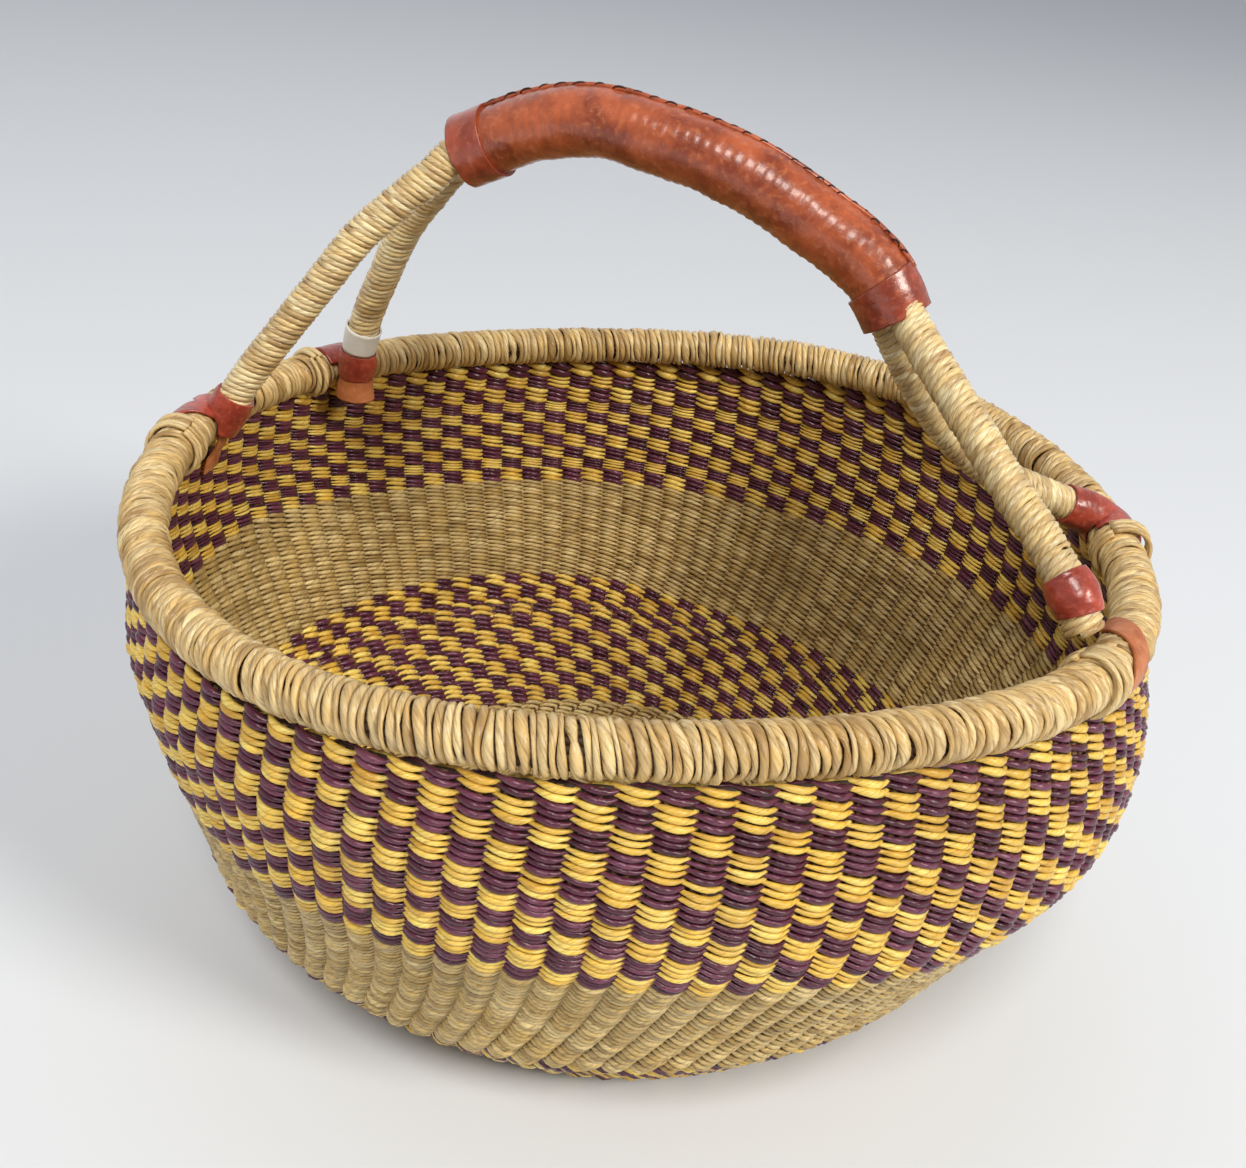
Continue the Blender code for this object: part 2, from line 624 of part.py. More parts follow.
def main():
    clear_scene()
    basket = new_collection("bolga_basket")
    cutters = new_collection("cutters")
    materials = {
        "straw": make_material("plain_straw", STRAW, 0.6),
        "check": make_material("dyed_straw", CHECK, 0.6),
        "grass": make_material("grass_bundle", GRASS, 0.8),
        "grip": make_material("grip_leather", GRIP_BROWN, 0.35),
        "band": make_material("band_leather", BAND_RED, 0.45),
        "strap": make_material("strap_leather", STRAP_TAN, 0.55),
        "paper": make_material("tag_paper", PAPER_WHITE, 0.9),
    }
    build_floor(materials["straw"], basket)
    bands = (("base_checker_inner", BASE_INNER_STEPS, "check"),
             ("base_checker_outer", BASE_OUTER_STEPS, "check"),
             ("wall_plain_weave", PLAIN_WALL_STEPS, "straw"),
             ("wall_checker_lower", WALL_LOWER_STEPS, "check"),
             ("wall_checker_upper", WALL_UPPER_STEPS, "check"))
    start = FLOOR_STEPS
    for name, steps, kind in bands:
        wall = build_band(name, start, start + steps, materials[kind], basket)
        start += steps
    notch_wall(wall, cutters)
    build_rim_core(materials["grass"], basket)
    corners = (LEGS["front_left"]["angle"], LEGS["front_right"]["angle"], LEGS["back_right"]["angle"],
               LEGS["back_left"]["angle"], LEGS["front_left"]["angle"])
    for name, start, end in zip(("front", "right", "back", "left"), corners, corners[1:]):
        build_rim_binding("rim_binding_" + name, start, end, materials["straw"], basket)
    ends = grip_points()
    for side_name, side in (("front", 1), ("back", -1)):
        build_bundle(side_name, side, (ends[0], ends[-1]), materials, basket)
    build_stuffing("grip_stuffing_upper", 1, materials["grass"], basket)
    build_stuffing("grip_stuffing_lower", -1, materials["grass"], basket)
    build_grip(materials, basket)
    build_straps(materials, basket)
    for name in LASHINGS:
        build_lashing(name, materials["straw"], basket)


main()
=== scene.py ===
"""Looks of a round market basket: a twined straw bowl, a bound rim and a bound, leather-gripped handle.

Lengths named in millimetres are turned to metres where a point is placed. Depth is measured down the
wall from its top edge along the middle of the weave and on over the floor to its middle. Azimuth is the
angle round the basket from +X, and -Y is the side the photograph is taken from.
"""

import math

import bmesh
import bpy
import numpy as np
from mathutils import Matrix, Vector


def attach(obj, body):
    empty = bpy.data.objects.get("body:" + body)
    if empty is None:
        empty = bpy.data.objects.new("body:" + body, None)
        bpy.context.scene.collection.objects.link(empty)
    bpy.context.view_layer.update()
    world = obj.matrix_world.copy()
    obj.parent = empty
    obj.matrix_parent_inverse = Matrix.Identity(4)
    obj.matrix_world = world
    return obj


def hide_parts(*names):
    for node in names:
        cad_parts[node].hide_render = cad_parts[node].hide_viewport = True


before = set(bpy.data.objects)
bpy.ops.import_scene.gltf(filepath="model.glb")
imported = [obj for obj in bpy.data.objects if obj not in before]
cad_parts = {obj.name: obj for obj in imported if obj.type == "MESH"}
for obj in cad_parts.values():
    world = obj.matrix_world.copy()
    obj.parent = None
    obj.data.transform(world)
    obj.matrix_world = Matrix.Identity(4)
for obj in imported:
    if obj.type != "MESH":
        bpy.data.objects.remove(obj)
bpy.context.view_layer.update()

MM = 0.001
TURN = math.tau
rng = np.random.default_rng(16)

# ---------------------------------------------------------------- the frame's own sizes, in mm
RIM_RADIUS = 200.0
RIM_HEIGHT = 198.0
RIM_REACH = 9.2
WALL_THICKNESS = 5.8
# How deep the stakes stand in the weave, from its outside.
STAKE_INSET = 3.3
OUTLINE = [(r * RIM_RADIUS, h * RIM_HEIGHT) for r, h in (
    (0.6225, 0.000), (0.6805, 0.020), (0.7290, 0.060), (0.7785, 0.118), (0.8395, 0.190),
    (0.8955, 0.260), (0.9175, 0.3135), (0.9540, 0.400), (0.9920, 0.490), (1.0380, 0.596),
    (1.0540, 0.690), (1.0605, 0.790), (1.0455, 0.880))] + [(205.8, 188.5)]
# How far the middle of the shell wanders toward +X and +Y, at each height.
SHELL_SWAY = [(x, y, h * RIM_HEIGHT) for x, y, h in (
    (0.0, 0.0, 0.0), (-1.8, 0.3, 0.091), (-4.4, -1.1, 0.202), (0.7, 1.4, 0.404), (7.7, 2.1, 0.606),
    (3.5, 0.7, 0.808), (0.0, 0.0, 0.952))]
BUNDLE_REACH = 7.5
CORE_SPACING = 14.4
ARCH_RISE = 141.4
GRIP_LEFT, GRIP_RIGHT, GRIP_BACKSET = 101.5, 86.6, 18.5
GRIP_REACH = 14.2
CUFF_LENGTH = 15.5
BINDING_STOP = 8.0
TWIST_LEFT, TWIST_RIGHT = math.radians(5.0), math.radians(48.0)
# Points of the grip's arch, as shares of its width and of its rise over the rim.
GRIP_ARCH = ((0.000, 0.854), (0.086, 0.912), (0.157, 0.955), (0.236, 0.986), (0.326, 1.000),
             (0.426, 0.987), (0.548, 0.962), (0.669, 0.919), (0.788, 0.851), (0.883, 0.789),
             (0.952, 0.720), (1.000, 0.633))
# Each leg's foot: azimuth in degrees, and mm inward and up from the middle of the rim roll. Then the
# leg's way to the grip, as shares of its run along the ground and of its rise.
LEGS = {
    "front_left": (-170.4, 10.8, 7.0, ((0.055, 0.083), (0.116, 0.161), (0.239, 0.298), (0.417, 0.495),
                                       (0.590, 0.683), (0.760, 0.817), (0.894, 0.915))),
    "back_left": (163.4, 18.6, -3.0, ((0.012, 0.075), (0.030, 0.155), (0.110, 0.297), (0.235, 0.444),
                                      (0.358, 0.581), (0.470, 0.686), (0.615, 0.785), (0.800, 0.905))),
    "front_right": (-13.4, 11.5, 9.0, ((0.068, 0.125), (0.161, 0.226), (0.266, 0.326), (0.420, 0.455),
                                       (0.567, 0.592), (0.735, 0.745), (0.890, 0.885))),
    "back_right": (24.6, 10.6, 7.0, ((0.083, 0.039), (0.202, 0.094), (0.335, 0.158), (0.492, 0.255),
                                     (0.633, 0.394), (0.759, 0.563), (0.879, 0.764))),
}
# Where along the back left leg the paper tag starts, and its length.
TAG_START, TAG_LENGTH = 18.0, 13.0


# ---------------------------------------------------------------- places in the frame
def rim_wave(azimuth):
    """Height in mm of the hand-made rim above or below its mean, as three waves round the basket."""
    return (5.9 * np.cos(azimuth - math.radians(20.7)) + 3.1 * np.cos(2 * (azimuth - math.radians(112.4)))
            + 4.6 * np.cos(3 * (azimuth - math.radians(66.0))))


def smooth_line(points, steps=12):
    """A dense smooth line through a row of points, with its running length."""
    points = np.asarray(points, float)
    padded = np.vstack([2 * points[0] - points[1], points, 2 * points[-1] - points[-2]])
    t = (np.arange(steps) / steps)[:, None]
    dense = []
    for a, b, c, d in zip(padded, padded[1:], padded[2:], padded[3:]):
        dense.append(0.5 * (2 * b + (c - a) * t + (2 * a - 5 * b + 4 * c - d) * t * t
                            + (3 * b - a - 3 * c + d) * t ** 3))
    dense = np.vstack(dense + [points[-1:]])
    return dense, np.r_[0.0, np.cumsum(np.linalg.norm(np.diff(dense, axis=0), axis=1))]


def shell_line():
    """Depth, radius, height and outward direction along the middle of the weave, from the rim inward."""
    dense, _ = smooth_line(OUTLINE[::-1])
    floor = np.linspace(dense[-1], (0.0, 0.0), 60)[1:]
    dense = np.vstack([dense, floor])
    ahead = np.gradient(dense, axis=0)
    ahead /= np.linalg.norm(ahead, axis=1)[:, None]
    outward = np.stack([-ahead[:, 1], ahead[:, 0]], axis=1)
    middle = dense - outward * (WALL_THICKNESS / 2)
    depth = np.r_[0.0, np.cumsum(np.linalg.norm(np.diff(middle, axis=0), axis=1))]
    return depth, dense, outward


DEPTH, SKIN, OUTWARD = shell_line()
FLOOR_MIDDLE = DEPTH[-1]
SWAY = smooth_line(SHELL_SWAY)[0]


def on_shell(azimuth, depth, inset):
    """Points in metres at a depth down the shell and an inset in mm from its outside."""
    radius = np.interp(depth, DEPTH, SKIN[:, 0]) - inset * np.interp(depth, DEPTH, OUTWARD[:, 0])
    height = np.interp(depth, DEPTH, SKIN[:, 1]) - inset * np.interp(depth, DEPTH, OUTWARD[:, 1])
    share = np.clip(height / (0.94 * RIM_HEIGHT), 0.0, 1.0)
    swayed = [np.interp(height, SWAY[:, 2], SWAY[:, side]) for side in (0, 1)]
    height = height + rim_wave(azimuth) * share * share
    return np.stack([radius * np.cos(azimuth) + swayed[0], radius * np.sin(azimuth) + swayed[1], height],
                    axis=-1) * MM


# Degrees that the stakes have drifted round at each depth, where they drift most and opposite.
DRIFT_FRONT = smooth_line(((0.0, 0.0), (20.0, 0.9), (45.0, 2.4), (75.0, 4.0), (100.0, 4.2), (120.0, 5.0),
                           (140.0, 6.7), (206.0, 13.0)))[0]
DRIFT_BACK = smooth_line(((0.0, 0.0), (30.0, -1.0), (60.0, -2.1), (75.0, -2.1), (100.0, -1.0), (125.0, 0.0),
                          (206.0, 0.0)))[0]


def front_share(azimuth):
    """1 at the front, where the stakes drift most, and 0 opposite."""
    return 0.5 * (1.0 + np.cos(azimuth + math.radians(65.0)))


def lean(azimuth, depth):
    """How far round, in radians, the stakes have drifted at a depth."""
    near, far = (np.interp(depth, line[:, 0], line[:, 1]) for line in (DRIFT_FRONT, DRIFT_BACK))
    return np.radians(near * front_share(azimuth) + far * (1.0 - front_share(azimuth)))


def at_rim(azimuth, outward, up):
    """Points in mm placed from the middle of the rim roll."""
    azimuth = np.asarray(azimuth, float)
    reach = RIM_RADIUS + outward
    return np.stack([reach * np.cos(azimuth), reach * np.sin(azimuth),
                     RIM_HEIGHT + rim_wave(azimuth) + up + 0 * azimuth], axis=-1)


class Rim:
    """The rim roll as a path: lengths run round the basket from azimuth zero."""

    def at(self, length):
        azimuth = np.asarray(length, float) / RIM_RADIUS
        step = math.radians(0.5)
        ahead = at_rim(azimuth + step, 0.0, 0.0) - at_rim(azimuth - step, 0.0, 0.0)
        ahead /= np.linalg.norm(ahead, axis=-1, keepdims=True)
        outward = np.stack([np.cos(azimuth), np.sin(azimuth), 0 * azimuth], axis=-1)
        up = np.cross(ahead, outward)
        return at_rim(azimuth, 0.0, 0.0), outward, up, ahead


class Route:
    """A handle route as a path: lengths run along it from its left end. Its side direction points to the
    inside of the arch and its up direction to the basket's back. Past its ends it runs straight on."""

    def __init__(self, points):
        self.dense, self.lengths = smooth_line(points)
        self.total = self.lengths[-1]

    def point(self, length):
        return np.stack([np.interp(length, self.lengths, self.dense[:, i]) for i in range(3)], axis=-1)

    def at(self, length):
        length = np.asarray(length, float)
        inside = np.clip(length, 2.0, self.total - 2.0)
        ahead = self.point(inside + 2.0) - self.point(inside - 2.0)
        ahead /= np.linalg.norm(ahead, axis=-1, keepdims=True)
        side = np.cross(np.array([0.0, 1.0, 0.0]), ahead)
        up = np.cross(ahead, side)
        up /= np.linalg.norm(up, axis=-1, keepdims=True)
        side = np.cross(up, ahead)
        beyond = length - np.clip(length, 0.0, self.total)
        return self.point(length) + ahead * beyond[..., None], side, up, ahead

    def nearest(self, target):
        return self.lengths[np.argmin(np.linalg.norm(self.dense - target, axis=1))]


def grip_points():
    width = GRIP_LEFT + GRIP_RIGHT
    return np.array([(along * width - GRIP_LEFT, GRIP_BACKSET, RIM_HEIGHT + rise * ARCH_RISE)
                     for along, rise in GRIP_ARCH])


def points_in_grip(side, reach, quarter):
    """Points that wind inside the grip; side is 1 for the front bundle and -1 for the back one."""
    middle = grip_points()
    made = []
    last = len(middle) - 1
    for index, point in enumerate(middle):
        ahead = middle[min(index + 1, last)] - middle[max(index - 1, 0)]
        ahead /= np.linalg.norm(ahead)
        normal = np.array([-ahead[2], 0.0, ahead[0]])
        turn = TWIST_LEFT + (TWIST_RIGHT - TWIST_LEFT) * index / last + quarter
        made.append(point + side * reach * (np.array([0.0, -math.cos(turn), 0.0]) + normal * math.sin(turn)))
    return np.array(made)


def leg_points(name, head):
    angle, inset, lift, shares = LEGS[name]
    foot = at_rim(math.radians(angle), -inset, lift)
    rest = [foot + (head - foot) * np.array([along, along, rise]) for along, rise in shares]
    return np.array([foot] + rest)


def bundle_route(side_name, side):
    inside = points_in_grip(side, CORE_SPACING / 2, 0.0)
    left = leg_points(side_name + "_left", inside[0])
    right = leg_points(side_name + "_right", inside[-1])
    return Route(np.vstack([left, inside, right[::-1]]))


RIM = Rim()
GRIP = Route(grip_points())
BUNDLES = {"front": bundle_route("front", 1), "back": bundle_route("back", -1)}


# ---------------------------------------------------------------- making pieces
def settle(piece, slot, *nodes):
    """The piece rides on the basket and stands for its CAD nodes, which are hidden. Slot is not used."""
    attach(piece, "root")
    if nodes:
        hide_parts(*nodes)


def show(name, mesh, material):
    """A smooth-shaded object in the scene, made of a finished mesh."""
    mesh.materials.append(material)
    piece = bpy.data.objects.new(name, mesh)
    bpy.context.scene.collection.objects.link(piece)
    mesh.polygons.foreach_set("use_smooth", np.ones(len(mesh.polygons), bool))
    return piece


def strands(name, lines, material, twist=9.0):
    """Straw strands as round tubes. A line is its points in metres, half thicknesses in mm, a tone for
    each point and whether it closes on itself. Twist is the length in mm of one turn of the fibres."""
    curve = bpy.data.curves.new(name, "CURVE")
    curve.dimensions = "3D"
    curve.bevel_depth = MM
    curve.bevel_resolution = 1
    for points, half, tone, closed in lines:
        spline = curve.splines.new("POLY")
        spline.points.add(len(points) - 1)
        spline.points.foreach_set("co", np.c_[points, np.ones(len(points))].ravel())
        spline.points.foreach_set("radius", np.broadcast_to(half, len(points)).astype(float))
        spline.use_cyclic_u = closed
    shape = bpy.data.objects.new(name + "_line", curve)
    bpy.context.scene.collection.objects.link(shape)
    held = bpy.context.evaluated_depsgraph_get()
    mesh = bpy.data.meshes.new_from_object(shape.evaluated_get(held))
    mesh.name = name
    bpy.data.objects.remove(shape)
    bpy.data.curves.remove(curve)
    sides = len(mesh.vertices) // sum(len(line[0]) for line in lines)
    turned = np.arange(sides) * TURN / sides
    fibre, tones = [], []
    for points, half, tone, closed in lines:
        length = np.r_[0.0, np.cumsum(np.linalg.norm(np.diff(points, axis=0), axis=1))] / MM
        around = turned[None, :] + (length * TURN / twist)[:, None]
        run = np.broadcast_to(length[:, None], around.shape)
        fibre.append(np.stack([np.cos(around), np.sin(around), run], axis=-1).reshape(-1, 3))
        tones.append(np.repeat(np.broadcast_to(tone, len(points)), sides))
    mesh.attributes.new("fibre", "FLOAT_VECTOR", "POINT").data.foreach_set(
        "vector", np.vstack(fibre).astype(np.float32).ravel())
    mesh.attributes.new("tone", "FLOAT", "POINT").data.foreach_set(
        "value", np.concatenate(tones).astype(np.float32))
    if not all(line[3] for line in lines):
        bm = bmesh.new()
        bm.from_mesh(mesh)
        bmesh.ops.holes_fill(bm, edges=bm.edges[:], sides=sides)
        bm.to_mesh(mesh)
        bm.free()
    return show(name, mesh, material)


def rolled_sheet(name, columns, rows, place, material, thickness=0.0):
    """A flat grid whose corners are carried to place(across, along), shares from 0 to 1, in metres.
    Thickness is in mm; a sheet that closes on itself needs none."""
    bm = bmesh.new()
    bmesh.ops.create_grid(bm, x_segments=columns, y_segments=rows, size=0.5)
    flat = np.array([vert.co[:2] for vert in bm.verts]) + 0.5
    for vert, point in zip(bm.verts, place(flat[:, 0], flat[:, 1])):
        vert.co = point
    bmesh.ops.remove_doubles(bm, verts=bm.verts[:], dist=0.00001)
    bmesh.ops.recalc_face_normals(bm, faces=bm.faces[:])
    if not thickness and bm.calc_volume(signed=True) < 0.0:
        bmesh.ops.reverse_faces(bm, faces=bm.faces[:])
    mesh = bpy.data.meshes.new(name)
    bm.to_mesh(mesh)
    bm.free()
    piece = show(name, mesh, material)
    if thickness:
        wall = piece.modifiers.new("sheet_thickness", "SOLIDIFY")
        wall.thickness = thickness * MM
        wall.offset = 0.0
    return piece


def lumps(points, size, seed):
    """Smooth uneven heights from -1 to 1 at points in mm, whose lumps are about one size across."""
    shift = np.array([seed * 7.31, seed * 3.17, seed * 5.73])
    made = np.zeros(len(points))
    for octave, weight in ((1.0, 0.65), (2.1, 0.35)):
        p = (points / size + shift) * octave
        made += weight * (np.sin(p[:, 0] * 2.9 + 1.7 * np.sin(p[:, 1] * 2.3))
                          * np.cos(p[:, 1] * 2.6 + 1.3 * np.sin(p[:, 2] * 3.1)) + np.sin(p[:, 2] * 2.7)
                          * np.cos(p[:, 0] * 2.2 + 1.9 * np.sin(p[:, 2] * 1.9))) / 2
    return made


def tube_round(path, start, stop, reach, name, columns, rows, material, lip=1.0, shape=None, fit=None):
    """A leather tube round a path with ends turned in by a lip in mm. Shape gives extra reach in mm for an
    angle, a length and the points in mm before it is added. Fit moves the finished points."""
    edge = 3 / rows

    def place(across, along):
        angle = across * TURN
        last = np.where(along > 1 - edge, (along - 1 + edge) / edge, 0.0)
        inner = np.where(along < edge, 1 - along / edge, last)
        length = start + (stop - start) * np.clip((along - edge) / (1 - 2 * edge), 0.0, 1.0)
        centre, side, up, ahead = path.at(length)
        round_out = side * np.cos(angle)[:, None] + up * np.sin(angle)[:, None]
        base = np.broadcast_to(reach, angle.shape) - lip * inner ** 1.5
        if shape is not None:
            base = base + shape(angle, length, centre + round_out * base[:, None]) * (1 - 0.7 * inner)
        tuck = ahead * (np.where(along < 0.5, 1.0, -1.0) * lip * 0.4 * inner)[:, None]
        points = centre + round_out * base[:, None] + tuck
        return (points if fit is None else fit(points, inner)) * MM

    return rolled_sheet(name, columns, rows, place, material)


def over_rim(points, inner):
    """Points in mm that would lie inside the rim roll, moved out onto it. Inner is 1 at a turned-in edge."""
    middle = at_rim(np.arctan2(points[:, 1], points[:, 0]), 0.0, 0.0)
    away = points - middle
    reach = np.maximum(np.linalg.norm(away, axis=1), 0.001)
    return middle + away * (np.maximum(RIM_REACH + 1.3 - 0.8 * inner, reach) / reach)[:, None]


# ---------------------------------------------------------------- materials
def linear(code):
    """An sRGB hex colour as linear red, green, blue and alpha."""
    parts = [int(code[i:i + 2], 16) / 255 for i in (1, 3, 5)]
    return tuple(c / 12.92 if c <= 0.04045 else ((c + 0.055) / 1.055) ** 2.4 for c in parts) + (1.0,)


def add(tree, kind, inputs=None, **settings):
    """A node with its settings; an input is a constant or another node's output, by name or identifier."""
    made = tree.nodes.new(kind)
    for key, value in settings.items():
        setattr(made, key, value)
    for key, value in (inputs or {}).items():
        socket = next((s for s in made.inputs if s.identifier == key), None) or made.inputs[key]
        if isinstance(value, bpy.types.NodeSocket):
            tree.links.new(value, socket)
        else:
            socket.default_value = value
    return made


def start_material(name):
    """A new material with its node tree and its surface shader."""
    material = bpy.data.materials.new(name)
    material.use_nodes = True
    tree = material.node_tree
    tree.nodes.clear()
    shader = add(tree, "ShaderNodeBsdfPrincipled")
    add(tree, "ShaderNodeOutputMaterial", {"Surface": shader.outputs["BSDF"]})
    return material, tree, shader


def blended(tree, factor, first, second):
    """Colour output that goes from the first colour to the second."""
    made = add(tree, "ShaderNodeMix", {"Factor_Float": factor, "A_Color": first, "B_Color": second},
               data_type="RGBA")
    return next(s for s in made.outputs if s.identifier == "Result_Color")


def straw(name, shade, body, shine, roughness, streak_depth, fold_depth_and_shade=0.0):
    """Dried split grass stem, rolled into a strand by hand. Its long fibres show as fine streaks that wind
    round the strand, the waxy skin of the stem gives a satin gloss, and no two stems have the same tone.
    Streaks are raised by streak_depth in mm. The last argument, from 0 to 1, is how deep the folds are that
    wind round the strand where it was rolled up, and how much shade is painted along them."""
    material, tree, shader = start_material(name)
    fibre = add(tree, "ShaderNodeAttribute", attribute_name="fibre").outputs["Vector"]
    tone = add(tree, "ShaderNodeAttribute", attribute_name="tone").outputs["Fac"]
    # Fibres are 0.1 to 0.2 mm wide; they are drawn about 0.5 mm wide so that the render shows them.
    drawn = add(tree, "ShaderNodeMapping", {"Vector": fibre, "Scale": (2.2, 2.2, 0.12)})
    streak = add(tree, "ShaderNodeTexNoise", {"Vector": drawn.outputs["Vector"], "Scale": 1.0, "Detail": 3.0,
                                              "Roughness": 0.6}).outputs["Fac"]
    # Painted shade: along the folds that wind round the strand the colour darkens, and the bump dips there
    # too.
    across = add(tree, "ShaderNodeSeparateXYZ", {"Vector": fibre}).outputs["X"]
    fold = add(tree, "ShaderNodeMath", {"Value": across}, operation="ABSOLUTE").outputs["Value"]
    fold_shade_and_dip = add(tree, "ShaderNodeMapRange", {"Value": fold, "From Max": 0.45, "To Min": -0.3 * fold_depth_and_shade,
                                              "To Max": 0.0}).outputs["Result"]
    streak = add(tree, "ShaderNodeMath", {"Value": streak, "Value_001": fold_shade_and_dip},
                 operation="ADD").outputs["Value"]
    blot = add(tree, "ShaderNodeMapping", {"Vector": fibre, "Scale": (0.25, 0.25, 0.05)})
    patch = add(tree, "ShaderNodeTexNoise", {"Vector": blot.outputs["Vector"], "Scale": 1.0,
                                             "Detail": 2.0}).outputs["Fac"]
    # Dark takes the colour toward the shade colour along fibre streaks, which are grain, and along the folds,
    # where it is painted shade.
    dark = add(tree, "ShaderNodeMapRange", {"Value": streak, "From Min": 0.52, "From Max": 0.26,
                                            "To Min": 0.0, "To Max": 0.7}).outputs["Result"]
    pale = add(tree, "ShaderNodeMapRange", {"Value": patch, "From Min": 0.42,
                                            "From Max": 0.70}).outputs["Result"]
    toned = blended(tree, tone, shade, shine)
    mixed = blended(tree, 0.62, body, toned)
    lit = blended(tree, pale, mixed, body)
    done = blended(tree, dark, lit, shade)
    tree.links.new(done, shader.inputs["Base Color"])
    shader.inputs["Roughness"].default_value = roughness
    shader.inputs["IOR"].default_value = 1.5
    bump = add(tree, "ShaderNodeBump", {"Height": streak, "Strength": 0.7, "Distance": streak_depth * MM})
    tree.links.new(bump.outputs["Normal"], shader.inputs["Normal"])
    return material


def leather(name, shade, body, worn, roughness, coat, grain):
    """Vegetable-tanned goat skin, dyed and burnished by hand. It shows fine pebbled grain, cloudy dye in
    patches about 14 mm wide, and a polished gloss. Grain is the pebbles' width in mm."""
    material, tree, shader = start_material(name)
    place = add(tree, "ShaderNodeTexCoord").outputs["Object"]
    cloud = add(tree, "ShaderNodeTexNoise", {"Vector": place, "Scale": 1 / (14 * MM), "Detail": 4.0,
                                             "Roughness": 0.6}).outputs["Fac"]
    fine = add(tree, "ShaderNodeTexNoise", {"Vector": place, "Scale": 1 / (2.5 * MM),
                                            "Detail": 3.0}).outputs["Fac"]
    pebble = add(tree, "ShaderNodeTexVoronoi", {"Vector": place, "Scale": 1 / (grain * MM),
                                                "Randomness": 1.0}, feature="F1").outputs["Distance"]
    low = add(tree, "ShaderNodeMapRange", {"Value": cloud, "From Min": 0.36,
                                           "From Max": 0.62}).outputs["Result"]
    high = add(tree, "ShaderNodeMapRange", {"Value": fine, "From Min": 0.52, "From Max": 0.75,
                                            "To Max": 0.5}).outputs["Result"]
    tree.links.new(blended(tree, high, blended(tree, low, shade, body), worn), shader.inputs["Base Color"])
    shader.inputs["Roughness"].default_value = roughness
    shader.inputs["IOR"].default_value = 1.5
    shader.inputs["Coat Weight"].default_value = coat
    shader.inputs["Coat Roughness"].default_value = 0.22
    first = add(tree, "ShaderNodeBump", {"Height": pebble, "Strength": 0.35, "Distance": 0.12 * MM})
    second = add(tree, "ShaderNodeBump", {"Height": fine, "Strength": 0.5, "Distance": 0.35 * MM,
                                          "Normal": first.outputs["Normal"]})
    tree.links.new(second.outputs["Normal"], shader.inputs["Normal"])
    return material


def paper(name, body, shade):
    """Uncoated white label paper: matte, with faint cloudy fibres."""
    material, tree, shader = start_material(name)
    place = add(tree, "ShaderNodeTexCoord").outputs["Object"]
    cloud = add(tree, "ShaderNodeTexNoise", {"Vector": place, "Scale": 1 / (3 * MM),
                                             "Detail": 5.0}).outputs["Fac"]
    tree.links.new(blended(tree, cloud, body, shade), shader.inputs["Base Color"])
    shader.inputs["Roughness"].default_value = 0.75
    bump = add(tree, "ShaderNodeBump", {"Height": cloud, "Strength": 0.3, "Distance": 0.1 * MM})
    tree.links.new(bump.outputs["Normal"], shader.inputs["Normal"])
    return material


NATURAL = straw("natural_grass_straw_dried", linear("#6a4c26"), linear("#c9a964"), linear("#f0dba2"),
                0.34, 0.24, 0.4)
# The rim and the legs are bound with the same straw; the legs' copy is painted lighter, for the stronger
# light that falls on them.
BINDING = straw("natural_grass_straw_rolled", linear("#744a22"), linear("#e4c07c"), linear("#faeab8"),
                0.30, 0.32, 0.4)
LEG_BINDING_PAINTED_LIT = straw("natural_grass_straw_painted_lit", linear("#84562a"), linear("#f2d494"), linear("#fff8d0"),
                    0.30, 0.32, 0.4)
GOLD = straw("grass_straw_dyed_gold", linear("#a97420"), linear("#f0c552"), linear("#fff08c"),
             0.28, 0.22, 0.3)
PURPLE = straw("grass_straw_dyed_purple", linear("#260a14"), linear("#5a2438"), linear("#8c5068"),
               0.22, 0.22, 0.3)
# The stakes' colours are darker than the straw of the strands: painted shade in the gaps between stitches.
STAKE_SHADE_DARK = straw("grass_stake_painted_shade", linear("#24130a"), linear("#3c2413"), linear("#58381e"), 0.6, 0.2)
UNDYED_STAKE_SHADE_DARK = straw("grass_stake_undyed_painted_shade", linear("#4a3018"), linear("#7c5832"), linear("#977244"),
                     0.6, 0.2)
# The core's dark brown is painted shade: it shows through the slits between turns of binding.
GRASS_CORE_SHADE_DARK = straw("grass_core_dry_painted_shade", linear("#2c1a0d"), linear("#4a3018"), linear("#6b4a28"), 0.6, 0.2)
GRIP_LEATHER = leather("goat_leather_polished_brown", linear("#84381c"), linear("#b65a33"),
                       linear("#d07c50"), 0.36, 0.40, 0.9)
CUFF_LEATHER = leather("goat_leather_polished_cuff", linear("#7c3220"), linear("#aa4c31"), linear("#c86e4e"),
                       0.32, 0.45, 0.9)
BAND_LEATHER = leather("goat_leather_dyed_red", linear("#8a3426"), linear("#b84a36"), linear("#d06c56"),
                       0.34, 0.35, 0.9)
STRAP_LEATHER = leather("goat_leather_natural_tan", linear("#a5582f"), linear("#c87a4a"), linear("#dd9a68"),
                        0.5, 0.05, 1.0)
THREAD = straw("thread_waxed_dark", linear("#1c0a08"), linear("#34120d"), linear("#4a2018"), 0.5, 0.1)
TAG = paper("label_paper_white", linear("#f4f1ea"), linear("#dedad0"))


# ---------------------------------------------------------------- twined weave
# Ribs, which are the stakes as the weave shows them, round the wall and round the base; the base's begin
# at a depth in mm.
WALL_RIBS = 108
BASE_RIBS = 90
BASE_RIBS_DEPTH = 158.0
# A gold stitch of the top row of checks sits at this azimuth, and every second rib from it.
FIRST_RIB = math.radians(4.45)
FIRST_BASE_RIB = FIRST_RIB + 0.01
